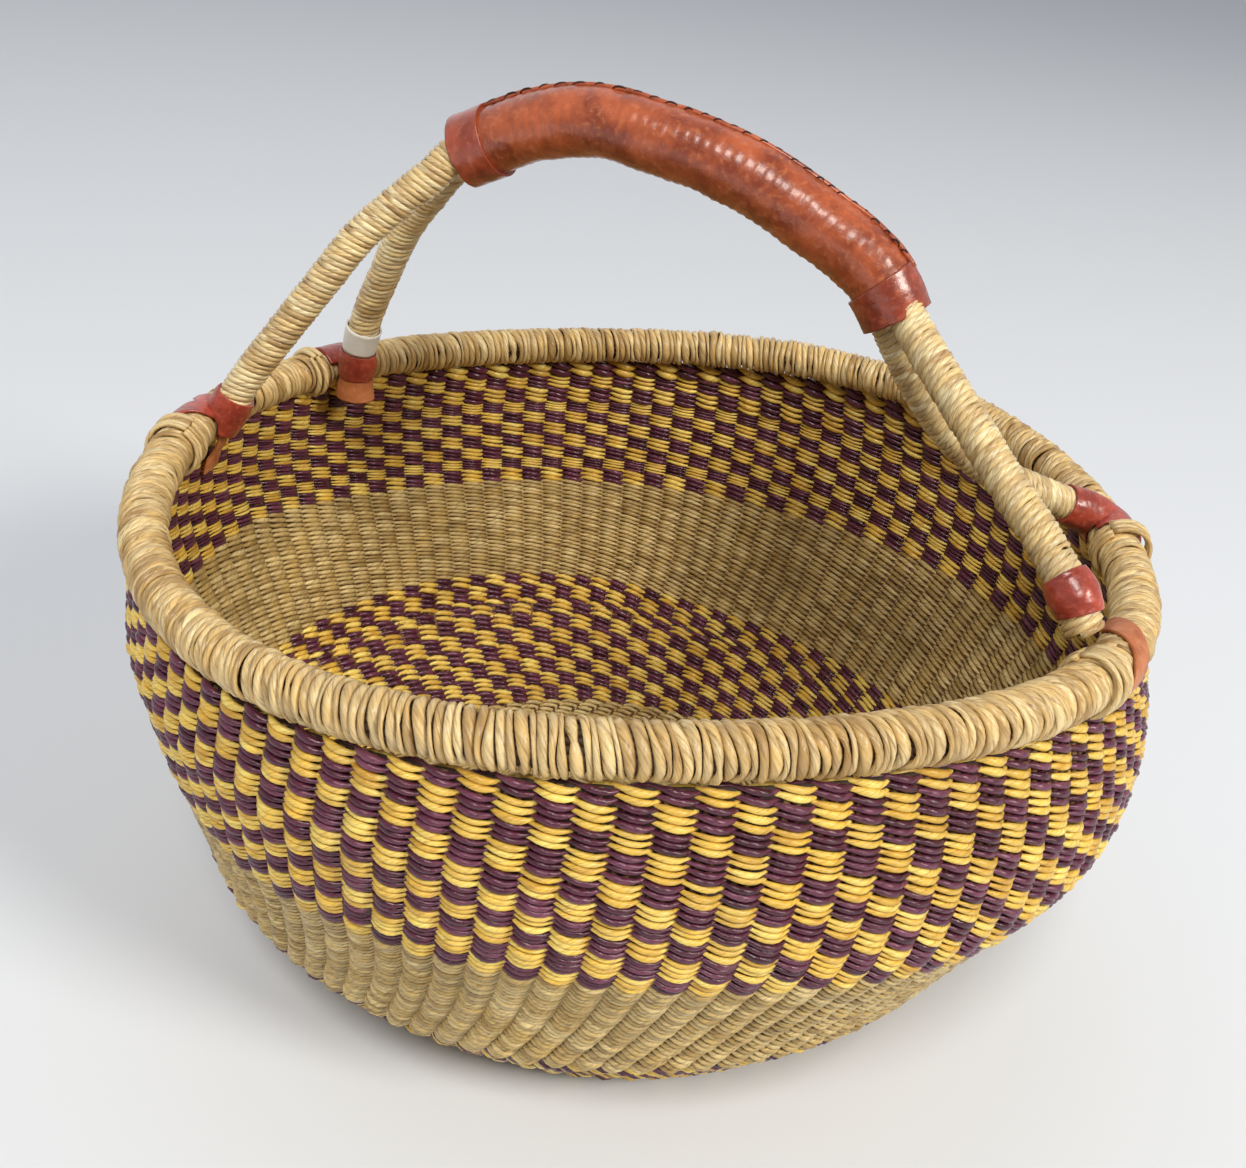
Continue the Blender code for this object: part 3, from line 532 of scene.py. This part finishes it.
# Rows in each band of checks, and the depths of the bands' edges at the front and at the back.
CHECK_ROWS = (2, 3, 3, 4, 3, 3, 3, 3, 4, 3)
CHECK_FRONT = (0.0, 5.4, 13.4, 20.2, 29.1, 37.0, 44.1, 50.6, 58.5, 67.8, 75.0)
CHECK_BACK = (0.0, 8.6, 16.5, 25.8, 32.6, 39.3, 46.3, 53.3, 60.3, 66.5, 74.3)
PLAIN_ROWS = 25
BASE_ROWS = (2, 3, 3, 3, 3, 3, 3, 3, 3)
BASE_EDGES = (0.0, 5.4, 13.1, 20.7, 28.3, 36.0, 43.6, 50.7, 57.2, 65.0)
BASE_END = 204.5
# Rows of checks above these depths stand for the upper ring of the wall or the outer ring of the base.
CHECKER_PARTED = 33.5
BASE_PARTED = 172.0
# Azimuth in degrees, and the depth there at which the checks under the rim or the plain band end.
CHECKS_END = ((-180, 57.0), (-165, 59.0), (-150, 67.0), (-130, 77.0), (-112, 83.0), (-100, 80.5),
              (-90, 77.0), (-75, 74.0), (-60, 73.5), (-48, 74.5), (-38, 79.0), (-28, 86.0), (-15, 84.0),
              (10, 79.0), (40, 76.0), (60, 77.0), (80, 78.5), (100, 76.5), (125, 73.5), (150, 69.5),
              (165, 64.0), (180, 57.0))
PLAIN_END = ((-180, 128.0), (-150, 133.0), (-120, 139.5), (-90, 145.5), (-60, 145.0), (-20, 143.0),
             (40, 143.0), (85, 141.5), (100, 138.0), (112, 133.0), (125, 130.0), (150, 127.5),
             (180, 128.0))
# Rings of the floor: radius in mm where a ring starts, and its ribs.
FLOOR_RINGS = ((137.0, 72), (95.0, 48), (62.0, 32), (36.0, 18), (18.0, 8), (4.0, 0))
FLOOR_ROW = 2.45


def floor_share(depth):
    """0 on the wall and 1 on the floor, between the depths where one turns into the other."""
    return np.interp(depth, (185.0, 212.0), (0.0, 1.0))


def depth_at(table, azimuth):
    """Depth in mm at azimuths in radians, from a table of degrees and depths."""
    line = smooth_line(table)[0]
    return np.interp((np.degrees(azimuth) + 180.0) % 360.0 - 180.0, line[:, 0], line[:, 1])


def wall_edges(azimuth):
    """Depths of the edges between all rows of the wall and base, top to bottom, and each row's check."""
    front, back = front_share(azimuth), 1.0 - front_share(azimuth)
    end, base = depth_at(CHECKS_END, azimuth), depth_at(PLAIN_END, azimuth)
    corners = [(front * f / CHECK_FRONT[-1] + back * b / CHECK_BACK[-1]) * end
               for f, b in zip(CHECK_FRONT, CHECK_BACK)]
    edges, kinds = [corners[0]], []
    for index, rows in enumerate(CHECK_ROWS):
        for row in range(rows):
            edges.append(corners[index] + (corners[index + 1] - corners[index]) * (row + 1) / rows)
            kinds.append(("check", index))
    for row in range(PLAIN_ROWS):
        edges.append(end + (base - end) * (row + 1) / PLAIN_ROWS)
        kinds.append(("plain", row))
    low = [base + edge / BASE_EDGES[-1] * (BASE_END - base) for edge in BASE_EDGES]
    for index, rows in enumerate(BASE_ROWS):
        for row in range(rows):
            edges.append(low[index] + (low[index + 1] - low[index]) * (row + 1) / rows)
            kinds.append(("base", index))
    return edges, kinds


def twined_strand(ribs, first, top, low, phase, steps=4):
    """One strand of a row: outside every second stake, behind the next, once round the basket. Seen from
    outside, its stitches drop a little to the right, and their ends dive between their neighbours."""
    x = np.arange(ribs * steps) / steps
    azimuth = first + x * TURN / ribs
    top, low = top(azimuth), low(azimuth)
    pitch = low - top
    stitch = np.rint(x).astype(int) % ribs
    size = (1.0 + 0.10 * rng.normal(size=ribs))[stitch]
    tall = (1.0 + 0.07 * rng.normal(size=ribs))[stitch]
    shift = (0.12 * rng.normal(size=ribs))[stitch]
    flat = floor_share((top + low) / 2)
    wave = np.cos(math.pi * (x - 0.07 - phase))
    bow = np.sign(wave) * np.abs(wave) ** 0.75
    swing = np.where(wave > 0, 2.3 - 0.8 * flat, 1.7 - 0.2 * flat) * bow * np.clip(size, 0.7, 1.3)
    up = -(0.34 * pitch) * np.sin(math.pi * (x - phase)) + shift
    half = 0.5 * pitch * (0.30 + 0.74 * np.abs(wave) ** 0.55) * np.clip(tall, 0.8, 1.2)
    depth = (top + low) / 2 - up
    inset = STAKE_INSET - 0.4 * flat - swing
    placed = on_shell(azimuth - lean(azimuth, depth), depth, inset)
    placed[:, 2] = np.maximum(placed[:, 2], half * MM + 0.00005)
    return placed, half, rng.random(ribs)[stitch], True


def build_wall():
    edges, kinds = wall_edges(np.zeros(1))
    middle = [(a[0] + b[0]) / 2 for a, b in zip(edges, edges[1:])]
    made = {}
    for row, (kind, index) in enumerate(kinds):
        on_wall = middle[row] < BASE_RIBS_DEPTH
        ribs, first = (WALL_RIBS, FIRST_RIB) if on_wall else (BASE_RIBS, FIRST_BASE_RIB)

        def top(azimuth, row=row):
            return wall_edges(azimuth)[0][row]

        def low(azimuth, row=row):
            return wall_edges(azimuth)[0][row + 1]

        steps = 6 if kind == "check" else 5 if kind == "plain" else 4
        for phase in (0, 1):
            strand = twined_strand(ribs, first, top, low, phase, steps)
            if kind == "plain":
                part = "wall_plain_upper_rows" if index < PLAIN_ROWS // 2 else "wall_plain_lower_rows"
                key = (part, "plain")
            else:
                colour = "gold" if (index + phase) % 2 == 0 else "purple"
                if kind == "check":
                    part = "wall_checker_upper" if middle[row] < CHECKER_PARTED else "wall_checker_lower"
                else:
                    part = "base_checker_outer" if middle[row] < BASE_PARTED else "base_checker_inner"
                key = (part + "_" + colour, colour)
            made.setdefault(key, []).append(strand)
    for (name, colour), lines in made.items():
        piece = strands(name + "_straw", lines, {"plain": NATURAL, "gold": GOLD, "purple": PURPLE}[colour])
        node = "wall_plain_weave" if colour == "plain" else name.rsplit("_", 1)[0]
        settle(piece, "plain_straw" if colour == "plain" else "dyed_straw", node)


def build_floor():
    """Plain rows of the floor; its rings have fewer stakes the nearer they are to the middle."""
    lines = []
    for (outer, ribs), (inner, _) in zip(FLOOR_RINGS, FLOOR_RINGS[1:]):
        start = BASE_END if outer == FLOOR_RINGS[0][0] else FLOOR_MIDDLE - outer
        stop = FLOOR_MIDDLE - inner
        rows = round((stop - start) / FLOOR_ROW)
        for row in range(rows):
            top = start + (stop - start) * row / rows
            low = start + (stop - start) * (row + 1) / rows
            for phase in (0, 1):
                lines.append(twined_strand(ribs, 0.02 * row, lambda a, t=top: t + 0 * a,
                                           lambda a, t=low: t + 0 * a, phase))
    third = len(lines) // 3
    settle(strands("floor_outer_rows_straw", lines[:third], NATURAL), "plain_straw", "floor_plain_weave")
    settle(strands("floor_inner_rows_straw", lines[third:], NATURAL), "plain_straw", "floor_plain_weave")


def build_stakes():
    """Stakes of grass that the strands are twined over, seen only in the gaps between stitches: pressed
    flat side by side they close the wall, and two stems stand proud at each rib. Their colours are darker
    than the strands' straw, which paints shade into those gaps."""
    rings = (("wall_checker_upper", 0.5, 32.2), ("wall_checker_lower", 32.2, 70.0),
             ("wall_plain_weave", 70.0, 141.6), ("base_checker_outer", 141.6, 177.8),
             ("base_checker_inner", 177.8, BASE_END), ("floor_plain_weave", BASE_END, FLOOR_MIDDLE - 2.0))
    for node, start, stop in rings:
        inset = STAKE_INSET - 0.2 * (stop > BASE_END)

        def place(across, along, start=start, stop=stop, inset=inset):
            return on_shell(across * TURN, start + (stop - start) * along, inset)

        # Thin dark sheets behind the weave; with no tone they take their material's darkest colour, painted
        # shade in the gaps.
        piece = rolled_sheet("stakes_pressed_shade_sheet_" + node, 216, max(6, int((stop - start) / 4.0)), place,
                             STAKE_SHADE_DARK if "checker" in node else UNDYED_STAKE_SHADE_DARK, 0.5)
        settle(piece, "plain_straw", node)
    spans = [(WALL_RIBS, FIRST_RIB, 1.0, BASE_RIBS_DEPTH + 2.0),
             (BASE_RIBS, FIRST_BASE_RIB, BASE_RIBS_DEPTH - 2.0, BASE_END + 2.5)]
    for (outer, ribs), (inner, _) in zip(FLOOR_RINGS, FLOOR_RINGS[1:]):
        spans.append((ribs, 0.0, max(BASE_END + 0.5, FLOOR_MIDDLE - outer - 1.5), FLOOR_MIDDLE - inner))
    lines = []
    for ribs, first, start, stop in spans:
        depth = np.linspace(start, stop, max(3, int((stop - start) / 9.0)))
        radius = np.interp(depth, DEPTH, SKIN[:, 0])
        for index in range(ribs):
            azimuth = first + index * TURN / ribs + 0 * depth
            for offset in (-0.14, 0.14):
                around = azimuth + offset * TURN / ribs
                inset = STAKE_INSET - 0.4 * floor_share(depth)
                placed = on_shell(around - lean(around, depth), depth, inset)
                lines.append((placed, np.clip(radius * TURN / ribs * 0.13, 0.5, 1.3), rng.random(), False))
    half = len(lines) // 2
    for name, part, node in (("stakes_upper_grass", lines[:half], "wall_plain_weave"),
                             ("stakes_lower_grass", lines[half:], "floor_plain_weave")):
        settle(strands(name, part, UNDYED_STAKE_SHADE_DARK), "plain_straw", node)


# ---------------------------------------------------------------- bindings and cores
# Mm along the roll or the leg that one turn of straw takes, and mm in which its fibres turn once.
RIM_PITCH = 3.05
LEG_PITCH = 2.6
BINDING_TWIST = 24.0


def eased(at, knots, values):
    """Values between evenly spaced knots, joined by smooth steps."""
    place = (at - knots[0]) / (knots[1] - knots[0])
    left = np.clip(place.astype(int), 0, len(knots) - 2)
    share = np.clip(place - left, 0.0, 1.0)
    return values[left] + (values[left + 1] - values[left]) * share * share * (3.0 - 2.0 * share)


def wound(path, start, stop, reach, pitch, slant, rough, turn_points):
    """Straw wound in touching turns round a path, from one length to another, pulled tight by hand. Slant
    is how far in mm a turn runs ahead on one side of the path and lags on the other. Rough is how far the
    edge that two turns share wanders, in pitches, so that where one swells the next one thins. In one
    place each turn thins alone, some more than others, which leaves a slit beside it; the slit looks dark
    from real shade and from the painted-shade colour of the core below it."""
    turns = max(2, round((stop - start) / pitch))
    t = np.arange(turns * turn_points + 1) / turn_points
    knots = np.linspace(-1.0, turns + 1.0, (turns + 2) * 4 + 1)
    wander = rough * rng.normal(size=len(knots))

    def edge(at):
        return at + eased(at, knots, wander)

    low, high = edge(t - 0.5), edge(t + 0.5)
    angle = TURN * t - math.pi / 2
    length = start + (stop - start) * np.clip((low + high) / 2 / turns, 0.0, 1.0) + slant * np.cos(angle)
    per = np.minimum(t.astype(int), turns)
    slit_at, slit_deep = rng.uniform(0.1, 0.9, turns + 1)[per], rng.choice((0.3, 0.7, 0.9), turns + 1)[per]
    thin = slit_deep * np.exp(-((t - per - slit_at) / 0.05) ** 2)
    half = (0.68 - 0.65 * rough) * pitch * np.clip(high - low, 0.5, 1.45) * (1.0 - 0.6 * thin)
    raised = 1.2 * rough * eased(t, knots, rng.normal(size=len(knots)))
    centre, side, up, ahead = path.at(np.clip(length, start - 0.5, stop + 0.5))
    out = reach - half + raised - 0.6 * thin
    points = centre + (side * np.cos(angle)[:, None] + up * np.sin(angle)[:, None]) * out[:, None]
    return points * MM, half, rng.random(turns + 1)[per], False


def bundle_core(path, start, stop, reach, count, strand, step, closed):
    """Grass stems laid side by side along a path, with half as many inside their ring."""
    lines = []
    number = int((stop - start) / step)
    length = np.linspace(start, stop, number + (0 if closed else 1), endpoint=not closed)
    places = [(reach - strand / 2, TURN * k / count) for k in range(count)]
    places += [((reach - strand / 2) * 0.45, TURN * k / (count // 2)) for k in range(count // 2)]
    for away, angle in places:
        centre, side, up, ahead = path.at(length)
        points = centre + (side * math.cos(angle) + up * math.sin(angle)) * away
        lines.append((points * MM, strand / 2, rng.random(), closed))
    return lines


def build_rim():
    names = ("front", "right", "back", "left")
    corners = [LEGS[name][0] % 360.0 for name in ("front_left", "front_right", "back_right", "back_left",
                                                  "front_left")]
    for name, start, stop in zip(names, corners, corners[1:]):
        span = (stop - start) % 360.0
        start = math.radians(start) * RIM_RADIUS
        stop = start + math.radians(span) * RIM_RADIUS
        line = wound(RIM, start, stop, RIM_REACH + 0.3, RIM_PITCH, 1.6, 0.28, 24)
        settle(strands("rim_binding_" + name + "_straw", [line], BINDING, BINDING_TWIST), "plain_straw",
               "rim_binding_" + name)
    core = bundle_core(RIM, 0.0, TURN * RIM_RADIUS, RIM_REACH - 2.1, 14, 3.0, 8.0, True)
    settle(strands("rim_core_grass_stems", core, GRASS_CORE_SHADE_DARK), "grass_bundle", "rim_core_grass_bundle")


def build_handle_straw():
    ends = grip_points()
    for side_name, route in BUNDLES.items():
        stop_left = route.nearest(ends[0]) - BINDING_STOP
        stop_right = route.nearest(ends[-1]) + BINDING_STOP
        for end_name, start, stop in (("left", 0.0, stop_left + 11.0),
                                      ("right", stop_right - 11.0, route.total)):
            name = "leg_binding_" + side_name + "_" + end_name
            line = wound(route, start, stop, BUNDLE_REACH + 0.1, LEG_PITCH, 1.5, 0.07, 18)
            settle(strands(name + "_straw", [line], LEG_BINDING_PAINTED_LIT, BINDING_TWIST), "plain_straw", name)
        core = bundle_core(route, 0.0, route.total, BUNDLE_REACH - 2.0, 9, 2.8, 7.0, False)
        settle(strands("handle_core_" + side_name + "_stems", core, GRASS_CORE_SHADE_DARK), "grass_bundle",
               "handle_core_" + side_name)
    for name, side in (("upper", 1), ("lower", -1)):
        route = Route(points_in_grip(side, 8.3, math.pi / 2))
        fill = bundle_core(route, 6.0, route.total - 6.0, 3.6, 5, 2.2, 8.0, False)
        settle(strands("grip_stuffing_" + name + "_stems", fill, GRASS_CORE_SHADE_DARK), "grass_bundle",
               "grip_stuffing_" + name)


# ---------------------------------------------------------------- leather
def build_grip():
    """Leather sleeve with the wound bundles showing through it, a cuff at each end, and its top seam."""
    total = GRIP.total

    def over_bundles(angle, length, points):
        share = length / total
        twist = TWIST_LEFT + (TWIST_RIGHT - TWIST_LEFT) * share
        # The two bundles lie along one line across the grip, so the sleeve pulls in beside it.
        line = -math.pi / 2 - twist
        squeeze = -0.9 * np.sin(angle - line) ** 2
        knuckles = (0.22 * np.sin(length * TURN / 4.3 + 1.5 * np.sin(angle))
                    * np.abs(np.sin(angle * 1.5 + share * 3)))
        narrow = -1.3 * np.clip((share - 0.8) / 0.2, 0.0, 1.0)
        return squeeze + knuckles + narrow + 0.5 * lumps(points, 16.0, 1) + 0.2 * lumps(points, 6.0, 2)

    sleeve = tube_round(GRIP, 3.0, total - 3.0, GRIP_REACH + 0.2, "grip_leather_sleeve_skin", 48, 150,
                        GRIP_LEATHER, 1.5, over_bundles)
    settle(sleeve, "grip_leather", "grip_leather_sleeve")

    def cuff(angle, length, points):
        narrow = -1.3 * np.clip((length / total - 0.8) / 0.2, 0.0, 1.0)
        return narrow + 0.35 * lumps(points, 9.0, 3) + 0.12 * lumps(points, 3.5, 4)

    for name, start, stop in (("left", 0.0, CUFF_LENGTH), ("right", total - CUFF_LENGTH, total)):
        piece = tube_round(GRIP, start, stop, GRIP_REACH + 0.9, "grip_cuff_" + name + "_skin", 48, 36,
                           CUFF_LEATHER, 2.2, cuff)
        settle(piece, "band_leather", "grip_cuff_" + name)

    start, stop = CUFF_LENGTH - 9.0, total - CUFF_LENGTH + 2.0
    length = np.linspace(start, stop, 120)
    centre, side, up, ahead = GRIP.at(length)
    lift = GRIP_REACH - 0.35 + 0.3 * lumps(centre, 11.0, 5)
    points = centre - side * lift[:, None] + up * (0.7 * lumps(centre, 13.0, 6))[:, None]
    settle(strands("grip_seam_ridge", [(points * MM, 1.2, 0.5, False)], GRIP_LEATHER), "grip_leather",
           "grip_stitched_seam")
    # Each stitch is a short dash of thread along the ridge, longer toward the left end.
    lines = []
    at = start + 10.0
    while at < stop - 6.0:
        share = (at - start) / (stop - start)
        long = (5.5 - 3.2 * share) * (0.7 + 0.6 * rng.random())
        along = at + np.linspace(0.0, long, 7)
        centre, side, up, ahead = GRIP.at(along)
        rise = GRIP_REACH + 0.72 - 1.1 * np.abs(np.linspace(-1.0, 1.0, 7)) ** 3
        across = rng.uniform(-0.9, -0.2) + np.linspace(-0.5, 0.5, 7) * rng.uniform(0.2, 1.0)
        points = centre - side * rise[:, None] + up * across[:, None]
        lines.append((points * MM, 0.36, rng.random(), False))
        at += long + rng.uniform(1.2, 3.4)
    settle(strands("grip_seam_stitches", lines, THREAD, 3.0), "grip_leather")


# Where in mm along its leg a foot's leather starts and stops; below zero it runs on down over the rim.
BANDS = {"front_left": (-10.0, 7.5), "back_left": (4.0, 17.6), "front_right": (7.0, 21.5),
         "back_right": (-10.0, 12.0)}


def build_bands():
    """A leather band round each foot, and the paper tag round the back left leg."""
    for side_name, route in BUNDLES.items():
        for end_name in ("left", "right"):
            name = side_name + "_" + end_name
            foot, top = BANDS[name]
            if end_name == "right":
                foot, top = route.total - foot, route.total - top
            seed = 10 + len(name)

            def bulge(angle, length, points, foot=foot, top=top, seed=seed):
                share = np.clip((length - top) / (foot - top), 0.0, 1.0)
                crumple = 0.5 * np.abs(lumps(points, 5.0, seed + 2)) * np.exp(-(share / 0.3) ** 2)
                return (0.9 * np.sin(math.pi * share) + 0.35 * lumps(points, 8.0, seed)
                        + 0.15 * lumps(points, 3.0, seed + 1) + crumple)

            piece = tube_round(route, min(foot, top), max(foot, top), BUNDLE_REACH + 0.9,
                               "leather_band_" + name + "_skin", 60, 45, BAND_LEATHER, 1.1, bulge, over_rim)
            settle(piece, "band_leather", "leather_band_" + name)

    def flare(angle, length, points):
        return 0.1 * lumps(points, 7.0, 31) + 0.7 * (length - TAG_START) / TAG_LENGTH

    piece = tube_round(BUNDLES["back"], TAG_START, TAG_START + TAG_LENGTH, BUNDLE_REACH + 0.5,
                       "paper_tag_wrap", 40, 16, TAG, 0.4, flare)
    settle(piece, "tag_paper", "paper_tag")


def strip_over_rim(name, first, last, line, width, slot, nodes, material):
    """A strip of leather over the rim, along points of outward and up in mm, that runs from one azimuth to
    another on its way. Its width is in mm."""
    dense, lengths = smooth_line(line)

    def place(across, along):
        at = along * lengths[-1]
        out = np.interp(at, lengths, dense[:, 0])
        up = np.interp(at, lengths, dense[:, 1])
        uneven = 1.0 + 0.12 * np.sin(along * 5.0 + first)
        edge = (across - 0.5) * width * uneven + 0.6 * np.sin(along * 7.0)
        azimuth = first + (last - first) * along + edge / RIM_RADIUS
        bend = 0.3 * lumps(at_rim(azimuth, out, up), 6.0, 41)
        return at_rim(azimuth, out + bend, up + bend) * MM

    settle(rolled_sheet(name, 14, 60, place, material, 1.3), slot, *nodes)


# Azimuths in degrees where a strap starts inside the rim and ends outside it, and its width in mm.
STRAPS = {"front_left": (-169.5, -162.0, 14.0), "back_left": (163.0, 163.4, 18.0),
          "front_right": (-7.0, -15.5, 13.0), "back_right": (23.0, 22.3, 13.0)}
# A tongue's points of outward and up in mm from the rim's middle.
TONGUE = ((-10.3, -1.0), (-7.4, -9.2), (-2.9, -16.5), (-0.9, -23.9))


def build_straps():
    reach = RIM_REACH + 1.1
    for name, (first, last, width) in STRAPS.items():
        turns = np.radians(np.linspace(148.0, -46.0, 13))
        line = np.stack([reach * np.cos(turns), reach * np.sin(turns)], axis=1)
        strip_over_rim("leather_strap_" + name + "_skin", math.radians(first), math.radians(last), line,
                       width, "strap_leather", ("leather_strap_" + name,),
                       STRAP_LEATHER if name == "front_right" else BAND_LEATHER)
    angle = math.radians(LEGS["front_left"][0])
    strip_over_rim("leather_tongue_front_left_skin", angle, angle, TONGUE, 11.0, "strap_leather",
                   ("leather_tongue_front_left",), STRAP_LEATHER)

    def hanging(angle, length, points):
        """The tongue at the back left foot hangs round the foot below its band and spreads a little."""
        return 0.4 * lumps(points, 6.0, 51) + 1.6 * np.clip((5.0 - length) / 11.5, 0.0, 1.0)

    piece = tube_round(BUNDLES["back"], -6.5, 5.0, BUNDLE_REACH + 0.3, "leather_tongue_back_left_skin",
                       48, 24, STRAP_LEATHER, 1.2, hanging, over_rim)
    settle(piece, "strap_leather", "leather_tongue_back_left")


# Azimuth in degrees of the first loop, the loops and their way on, and how far in mm they stand out.
LASHINGS = {"front_left": (-163.6, 4, 1, 0.8), "back_left": (166.6, 2, 1, 0.4),
            "front_right": (-16.4, 4, -1, 0.8), "back_right": (20.3, 3, -1, 2.2)}


def build_lashings():
    for name, (first, loops, way, standoff) in LASHINGS.items():
        lines = []
        for loop in range(loops):
            turn = np.linspace(0.0, 1.0, 31)
            drift = 0.9 * turn + 0.35 * np.sin(TURN * turn + loop * 1.7) * rng.uniform(0.4, 1.0)
            azimuth = math.radians(first) + way * (loop + drift) * 3.3 / RIM_RADIUS
            around = math.radians(120.0) - TURN * turn
            away = RIM_REACH + 1.5 + 0.35 * np.sin(TURN * turn * 2 + loop * 2.1)
            away += standoff * (0.6 + 0.4 * rng.random()) * np.clip(np.cos(around - 0.5), 0.0, 1.0) ** 2
            points = at_rim(azimuth, away * np.cos(around), away * np.sin(around))
            lines.append((points * MM, 1.15 + 0.2 * np.sin(TURN * turn * 1.5 + loop), rng.random(), False))
        settle(strands("rim_lashing_" + name + "_straw", lines, BINDING, 20.0), "plain_straw",
               "rim_lashing_" + name)


# ---------------------------------------------------------------- floor, light and camera
def build_stage():
    """A plain pale floor, just under the basket."""
    bm = bmesh.new()
    bmesh.ops.create_circle(bm, cap_ends=True, segments=64, radius=30.0)
    mesh = bpy.data.meshes.new("floor_sheet")
    bm.to_mesh(mesh)
    bm.free()
    material, _, shader = start_material("backdrop_paper_pale")
    shader.inputs["Base Color"].default_value = linear("#e2e6ec")
    shader.inputs["Roughness"].default_value = 0.8
    floor = show("floor_sheet", mesh, material)
    floor.location.z = -0.0003


def build_light():
    """A white room, brightest to the left and behind, with soft lamps to the right and above the camera."""
    world = bpy.data.worlds.new("soft_room")
    bpy.context.scene.world = world
    world.use_nodes = True
    tree = world.node_tree
    toward = add(tree, "ShaderNodeSeparateXYZ",
                 {"Vector": add(tree, "ShaderNodeTexCoord").outputs["Generated"]})
    left = add(tree, "ShaderNodeMapRange", {"Value": toward.outputs["X"], "From Min": 0.3, "From Max": -0.7,
                                            "To Min": 0.0, "To Max": 0.48}, interpolation_type="SMOOTHSTEP")
    back = add(tree, "ShaderNodeMapRange", {"Value": toward.outputs["Y"], "From Min": -0.3, "From Max": 0.7,
                                            "To Min": 0.03, "To Max": 0.52}, interpolation_type="SMOOTHSTEP")
    both = add(tree, "ShaderNodeMath", {"Value": left.outputs["Result"], "Value_001": back.outputs["Result"]},
               operation="ADD").outputs["Value"]
    tree.nodes["Background"].inputs["Color"].default_value = linear("#f8faff")
    tree.links.new(both, tree.nodes["Background"].inputs["Strength"])
    # Each lamp's place and width are in metres, its power in watts.
    for name, place, size, power, colour in (
            ("lamp_right", (4.1, -1.3, 3.1), 1.5, 175.0, "#fffaf0"),
            ("lamp_over_camera", (0.8, -2.9, 4.0), 1.5, 130.0, "#fffcf6")):
        data = bpy.data.lights.new(name, "AREA")
        data.shape = "DISK"
        data.size = size
        data.energy = power
        data.color = linear(colour)[:3]
        lamp = bpy.data.objects.new(name, data)
        bpy.context.scene.collection.objects.link(lamp)
        lamp.matrix_world = Matrix.Translation(place) @ (
            Vector((0.0, 0.0, 0.1)) - Vector(place)).to_track_quat("-Z", "Y").to_matrix().to_4x4()


def build_camera():
    """The camera that was fitted to the photograph: its focal length is in the photograph's pixels."""
    focal_pixels, photo_width = 1383.9, 1246
    data = bpy.data.cameras.new("photo_camera")
    data.sensor_fit = "HORIZONTAL"
    data.sensor_width = 36.0
    data.lens = focal_pixels / photo_width * data.sensor_width
    camera = bpy.data.objects.new("photo_camera", data)
    bpy.context.scene.collection.objects.link(camera)
    camera.matrix_world = (Matrix.Translation((0.17459, -0.50465, 0.43184))
                           @ Matrix.Rotation(math.radians(19.604), 4, "Z")
                           @ Matrix.Rotation(math.radians(62.49), 4, "X")
                           @ Matrix.Rotation(math.radians(6.55), 4, "Z"))
    bpy.context.scene.camera = camera
    bpy.context.scene.view_settings.view_transform = "Standard"


build_camera()
build_light()
build_stage()
build_wall()
build_floor()
build_stakes()
build_rim()
build_handle_straw()
build_grip()
build_bands()
build_straps()
build_lashings()
